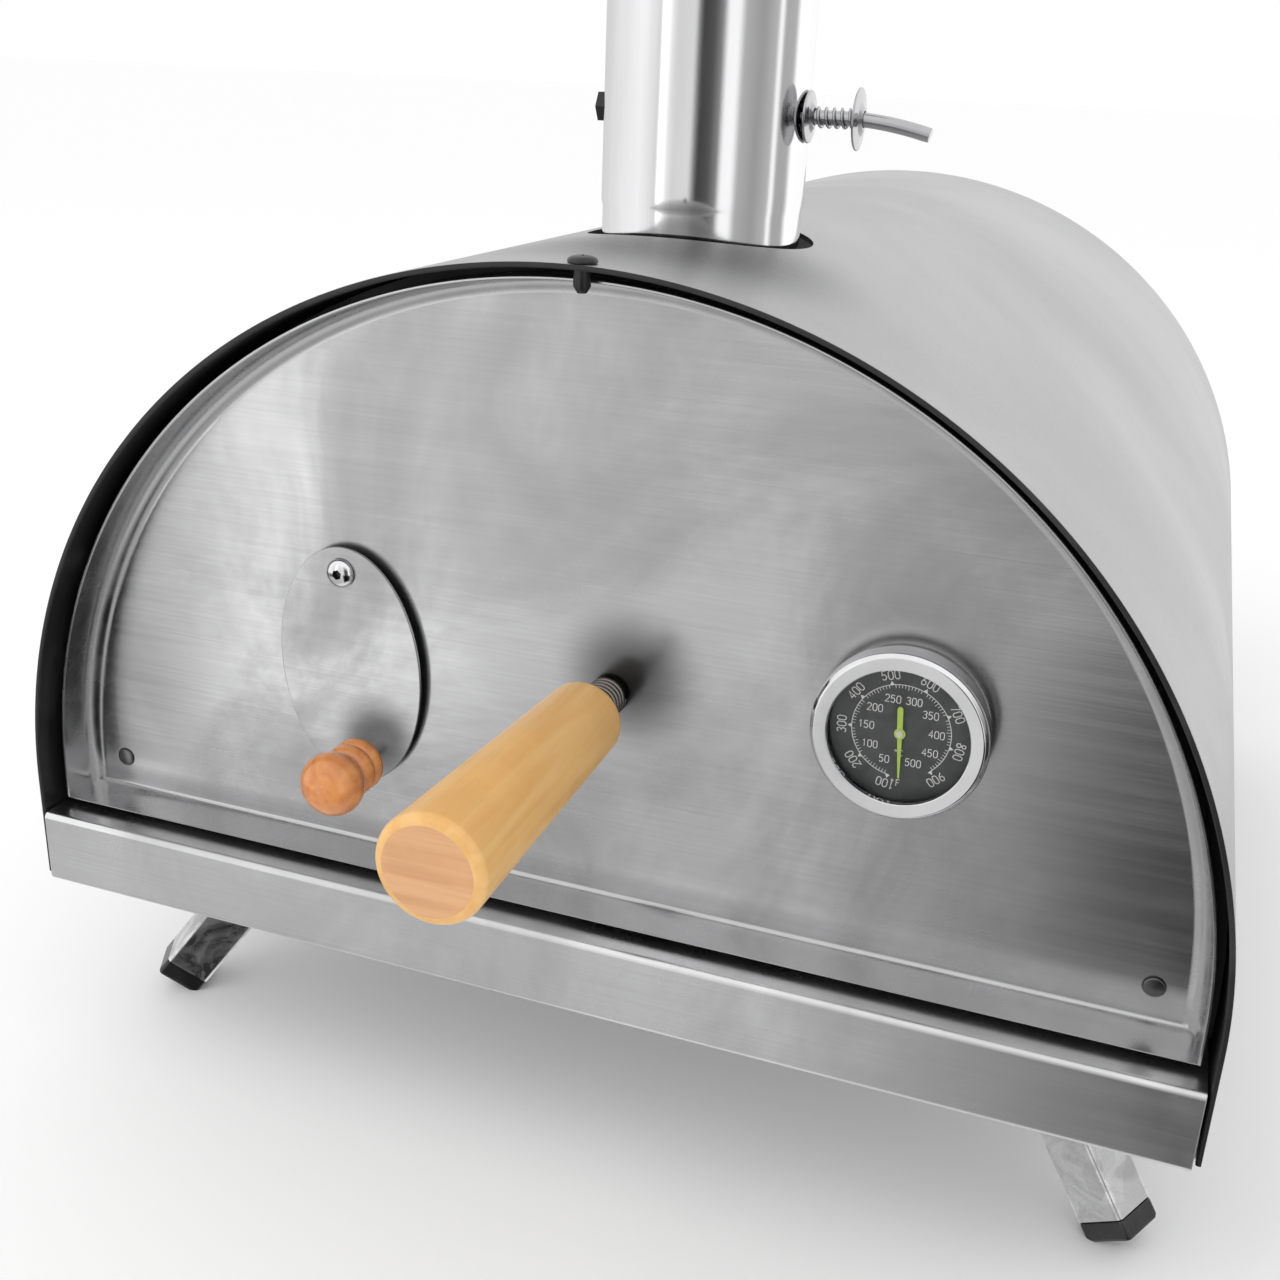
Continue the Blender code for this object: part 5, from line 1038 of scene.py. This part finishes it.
def build_cap():
    """The rain cap: a cone with a rolled rim, on three flat tabs that stand inside the tube."""
    low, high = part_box("chimney_cap")
    r = (high.x - low.x) / 2
    apex, cone, sheet, steps = high.z, 0.022, 0.0010, 14
    rim = apex - cone
    under = apex - sheet * 1.2

    def drop(share):
        return cone * share ** 0.92 * 0.97

    shares = [i / steps for i in range(1, steps + 1)]
    profile = [(0.0, apex)] + [(r * share * 0.985, apex - drop(share)) for share in shares]
    profile += [(r - 0.0003, rim + 0.0001), (r, rim - 0.0012), (r - 0.0004, rim - 0.0022),
                (r - 0.0012, rim - 0.0020), (r - 0.0014, rim - 0.0008)]
    profile += [(r * share * 0.97, under - drop(share)) for share in reversed(shares[:-1])] + [(0.0, under)]
    cap = piece("cap_cone", lathe(profile, 128, axis_z(0.0, TUBE_Y)), TUBE_STEEL, "cap",
                ("chimney_cap",), 35.0)
    outside, half_width, thick, edge = TUBE_RADIUS - 0.0015, 0.005, 0.0010, 0.0003
    reach = apex - sheet - drop(outside / r) - 0.001
    tabs = []
    for i in range(3):
        angle = math.pi / 2 + 2 * math.pi * i / 3
        cos, sin = math.cos(angle), math.sin(angle)
        rings = []
        for height, half in ((low.z, half_width - edge), (low.z + 0.0004, half_width), (reach, half_width)):
            section = ((-half, outside), (half, outside), (half, outside - thick), (-half, outside - thick))
            rings.append([(out * cos - along * sin, TUBE_Y + out * sin + along * cos, height)
                          for along, out in section])
        tabs.append((loft(rings), TUBE_STEEL))
    carve(cap, tabs, 35.0, "UNION")


# ---------------------------------------------------------------- legs
def leg_axes(corner):
    """The pivot of a leg, its direction down the tube, its hinge line and the across direction."""
    joint = JOINTS["leg_fold_" + corner]
    pivot = Vector(joint["pos_m"])
    hinge = Vector(joint["axis"]).normalized()
    low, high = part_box("leg_foot_" + corner)
    foot = (low + high) / 2
    down = foot - pivot
    down = (down - hinge * down.dot(hinge)).normalized()
    return pivot, down, hinge, hinge.cross(down).normalized()


def square_ring(half, corner, steps=6):
    ring = []
    for quarter in range(4):
        cos, sin = math.cos(math.pi / 2 * quarter), math.sin(math.pi / 2 * quarter)
        for i in range(steps + 1):
            angle = math.pi / 2 * i / steps
            u = half - corner + corner * math.cos(angle)
            v = half - corner + corner * math.sin(angle)
            ring.append((u * cos - v * sin, u * sin + v * cos))
    return ring


def build_legs():
    """Each leg is a square tube with a hole for its pin, and a plastic plug, flat where it stands."""
    half, wall, turn, edge = 0.01125, 0.0014, 0.0020, 0.0004
    head, length, inner_turn = -0.007, 0.080, 0.0007
    tube_layers = [(head + edge, half, turn), (length - edge, half, turn), (length, half - edge, turn - edge),
                   (length, half - wall, inner_turn), (head, half - wall, inner_turn),
                   (head, half - edge, turn - edge)]
    start, end = length + 0.0003, length + 0.009
    plug_layers = [(start, half - 0.0002, turn), (start + 0.0012, half, turn), (end - 0.0022, half, turn),
                   (end - 0.0008, half - 0.0006, turn), (end, half - 0.0020, turn)]
    ground_size = 0.06
    for corner in CORNERS:
        pivot, down, hinge, across = leg_axes(corner)
        body = "leg_%s_folding" % corner

        def rings(layers):
            return [[pivot + down * along + hinge * u + across * v for u, v in square_ring(width, radius)]
                    for along, width, radius in layers]

        tube = piece("leg_tube_" + corner, loft(rings(tube_layers), True), LEG_ZINC, body,
                     ("leg_" + corner,), 35.0)
        hole = loft([[pivot + (down * math.cos(a) + across * math.sin(a)) * 0.0030 + hinge * reach
                      for a in circle(32)] for reach in (-0.02, 0.02)])
        carve(tube, [(hole, None)], 35.0)
        foot = piece("foot_cap_" + corner, loft(rings(plug_layers)), FOOT_BLACK, body,
                     ("leg_foot_" + corner,), 35.0)
        spot = pivot + down * end
        ground = bmesh.new()
        bmesh.ops.create_cube(ground, size=ground_size,
                              matrix=Matrix.Translation((spot.x, spot.y, -ground_size / 2)))
        carve(foot, [(ground, None)], 35.0)


# ---------------------------------------------------------------- studio
def build_world():
    """A soft studio seen in the metal: light walls with one dark gap, white to the camera."""
    world = bpy.data.worlds.new("studio")
    bpy.context.scene.world = world
    world.use_nodes = True
    world.node_tree.nodes.clear()
    t = NodeTree(world.node_tree)
    split = t.node("SeparateXYZ")
    t.feed(split.inputs[0], t.node("TexCoord").outputs["Generated"])
    x, y, z = split.outputs
    azimuth = t.math("DIVIDE", t.math("ARCTAN2", x, t.math("MULTIPLY", y, -1.0)), 2 * math.pi)
    turn = t.math("ADD", azimuth, 0.5)

    def around(stops):
        """Brightness by direction round the object, from (degrees, value) stops."""
        ramp = t.node("ValToRGB")
        t.feed(ramp.inputs[0], turn)
        elements = ramp.color_ramp.elements
        elements.remove(elements[0])
        for i, (degrees, value) in enumerate(stops):
            spot = (degrees + 180.0) / 360.0
            element = elements[0] if i == 0 else elements.new(spot)
            element.position = spot
            element.color = (value, value, value, 1.0)
        return ramp.outputs[0]

    def past(edge, width, way):
        """0 to 1 as a direction's height passes an edge, upwards (1) or downwards (-1)."""
        return t.math("MULTIPLY", t.math("ADD", t.math("MULTIPLY", z, way), -edge), 1 / width, True)

    def background(colour):
        return t.out("Background", 0, {"Color": colour})

    low, sunk, down = past(0.24, 0.10, -1.0), past(0.42, 0.06, -1.0), past(0.72, 0.15, -1.0)
    up = past(0.10, 0.45, 1.0)
    dim = t.math("ADD", t.math("MULTIPLY", t.math("ADD", z, 0.30), 0.55), 1.0, True)
    low_band = t.mix(dim, 0.0, t.mix(sunk, around(LOW_WALLS), around(SILL_WALLS)))
    studio = background(t.mix(up, t.mix(low, around(WALLS), t.mix(down, low_band, NADIR)), CEILING))
    path = t.node("LightPath")
    soft = t.math("ADD", path.outputs["Is Camera Ray"], path.outputs["Is Diffuse Ray"], True)
    chosen = t.out("MixShader", 0, {0: soft, 1: studio, 2: background(1.0)})
    t.feed(t.node("OutputWorld").inputs["Surface"], chosen)


WALLS = [(-180, 1.1), (-150, 0.70), (-100, 0.95), (-60, 1.15), (-43, 0.95), (-37, 0.80), (-35, 1.75),
         (-28, 1.40), (-24, 1.0), (-17, 0.80), (1, 0.88), (6, 0.26), (10, 0.06), (22, 0.10), (31, 0.28),
         (37, 1.20), (48, 1.20), (55, 0.50), (75, 0.38), (95, 0.55), (98, 1.25), (101, 1.25), (105, 0.46),
         (122, 0.50), (130, 1.35), (180, 1.1)]
LOW_WALLS = [(-180, 0.9), (-90, 0.5), (-60, 0.14), (-44, 0.16), (-40, 0.22), (-36.5, 0.50), (-35, 2.30),
             (-30, 2.20), (-28, 0.74), (-22, 0.70), (-15, 0.82), (-9, 0.84), (-5, 0.62), (-3, 0.24),
             (-1, 0.04), (3, 0.0), (40, 0.02), (60, 0.4), (180, 0.9)]
SILL_WALLS = [(-180, 0.9), (-90, 0.6), (-50, 0.66), (-20, 0.66), (-6, 0.84), (-3, 0.46), (-1, 0.10),
              (3, 0.0), (40, 0.02), (60, 0.4), (180, 0.9)]
NADIR = 0.85
CEILING = 1.10


def add_key_light(place, aim, size, power):
    """A large soft lamp that the metal doesn't mirror."""
    data = bpy.data.lights.new("key", "AREA")
    data.size = size
    data.energy = power
    lamp = bpy.data.objects.new("key", data)
    bpy.context.scene.collection.objects.link(lamp)
    lamp.location = place
    lamp.rotation_euler = (Vector(aim) - Vector(place)).to_track_quat("-Z", "Y").to_euler()
    lamp.visible_glossy = False
    lamp.visible_camera = False


def build_floor():
    reach, z = 30.0, -0.0002
    bm = bmesh.new()
    bm.faces.new([bm.verts.new((a * reach, b * reach, z)) for a, b in ((-1, -1), (1, -1), (1, 1), (-1, 1))])
    finish = Finish("studio_floor", 0.0, 0.85)
    finish.colour(0.98)
    floor = piece("studio_floor", bm, finish, None, (), 0.0)
    floor.visible_glossy = False


def build_camera():
    width = 2 * SHELL_HALF
    front = SHELL_LOW.y
    data = bpy.data.cameras.new("photo_view")
    data.lens = 41.55
    data.sensor_width = 36.0
    data.clip_start = 0.01
    data.dof.use_dof = False
    camera = bpy.data.objects.new("photo_view", data)
    bpy.context.scene.collection.objects.link(camera)
    right = Vector((0.93653495, 0.34839052, 0.03906844))
    lower = Vector((0.16082087, -0.32792207, -0.93091555))
    ahead = Vector((-0.31151075, 0.87811797, -0.36313894))
    turn = Matrix((right, -lower, -ahead)).transposed().to_4x4()
    place = Vector((0.39408512 * width, front - 0.93030199 * width, SPRING_Z + 0.6177924 * width))
    camera.matrix_world = Matrix.Translation(place) @ turn
    bpy.context.scene.camera = camera


paint_nodes()
build_shell()
build_door()
build_rivets()
build_sill()
build_handle()
build_vent()
build_thermometer()
build_catch()
build_chimney()
build_damper()
build_cap()
build_legs()
build_world()
build_floor()
build_camera()
add_key_light((-0.9, -1.3, 1.9), (0.0, 0.0, 0.25), 1.2, 9.0)
bpy.context.scene.view_settings.view_transform = "Standard"
bpy.context.scene.view_settings.look = "None"
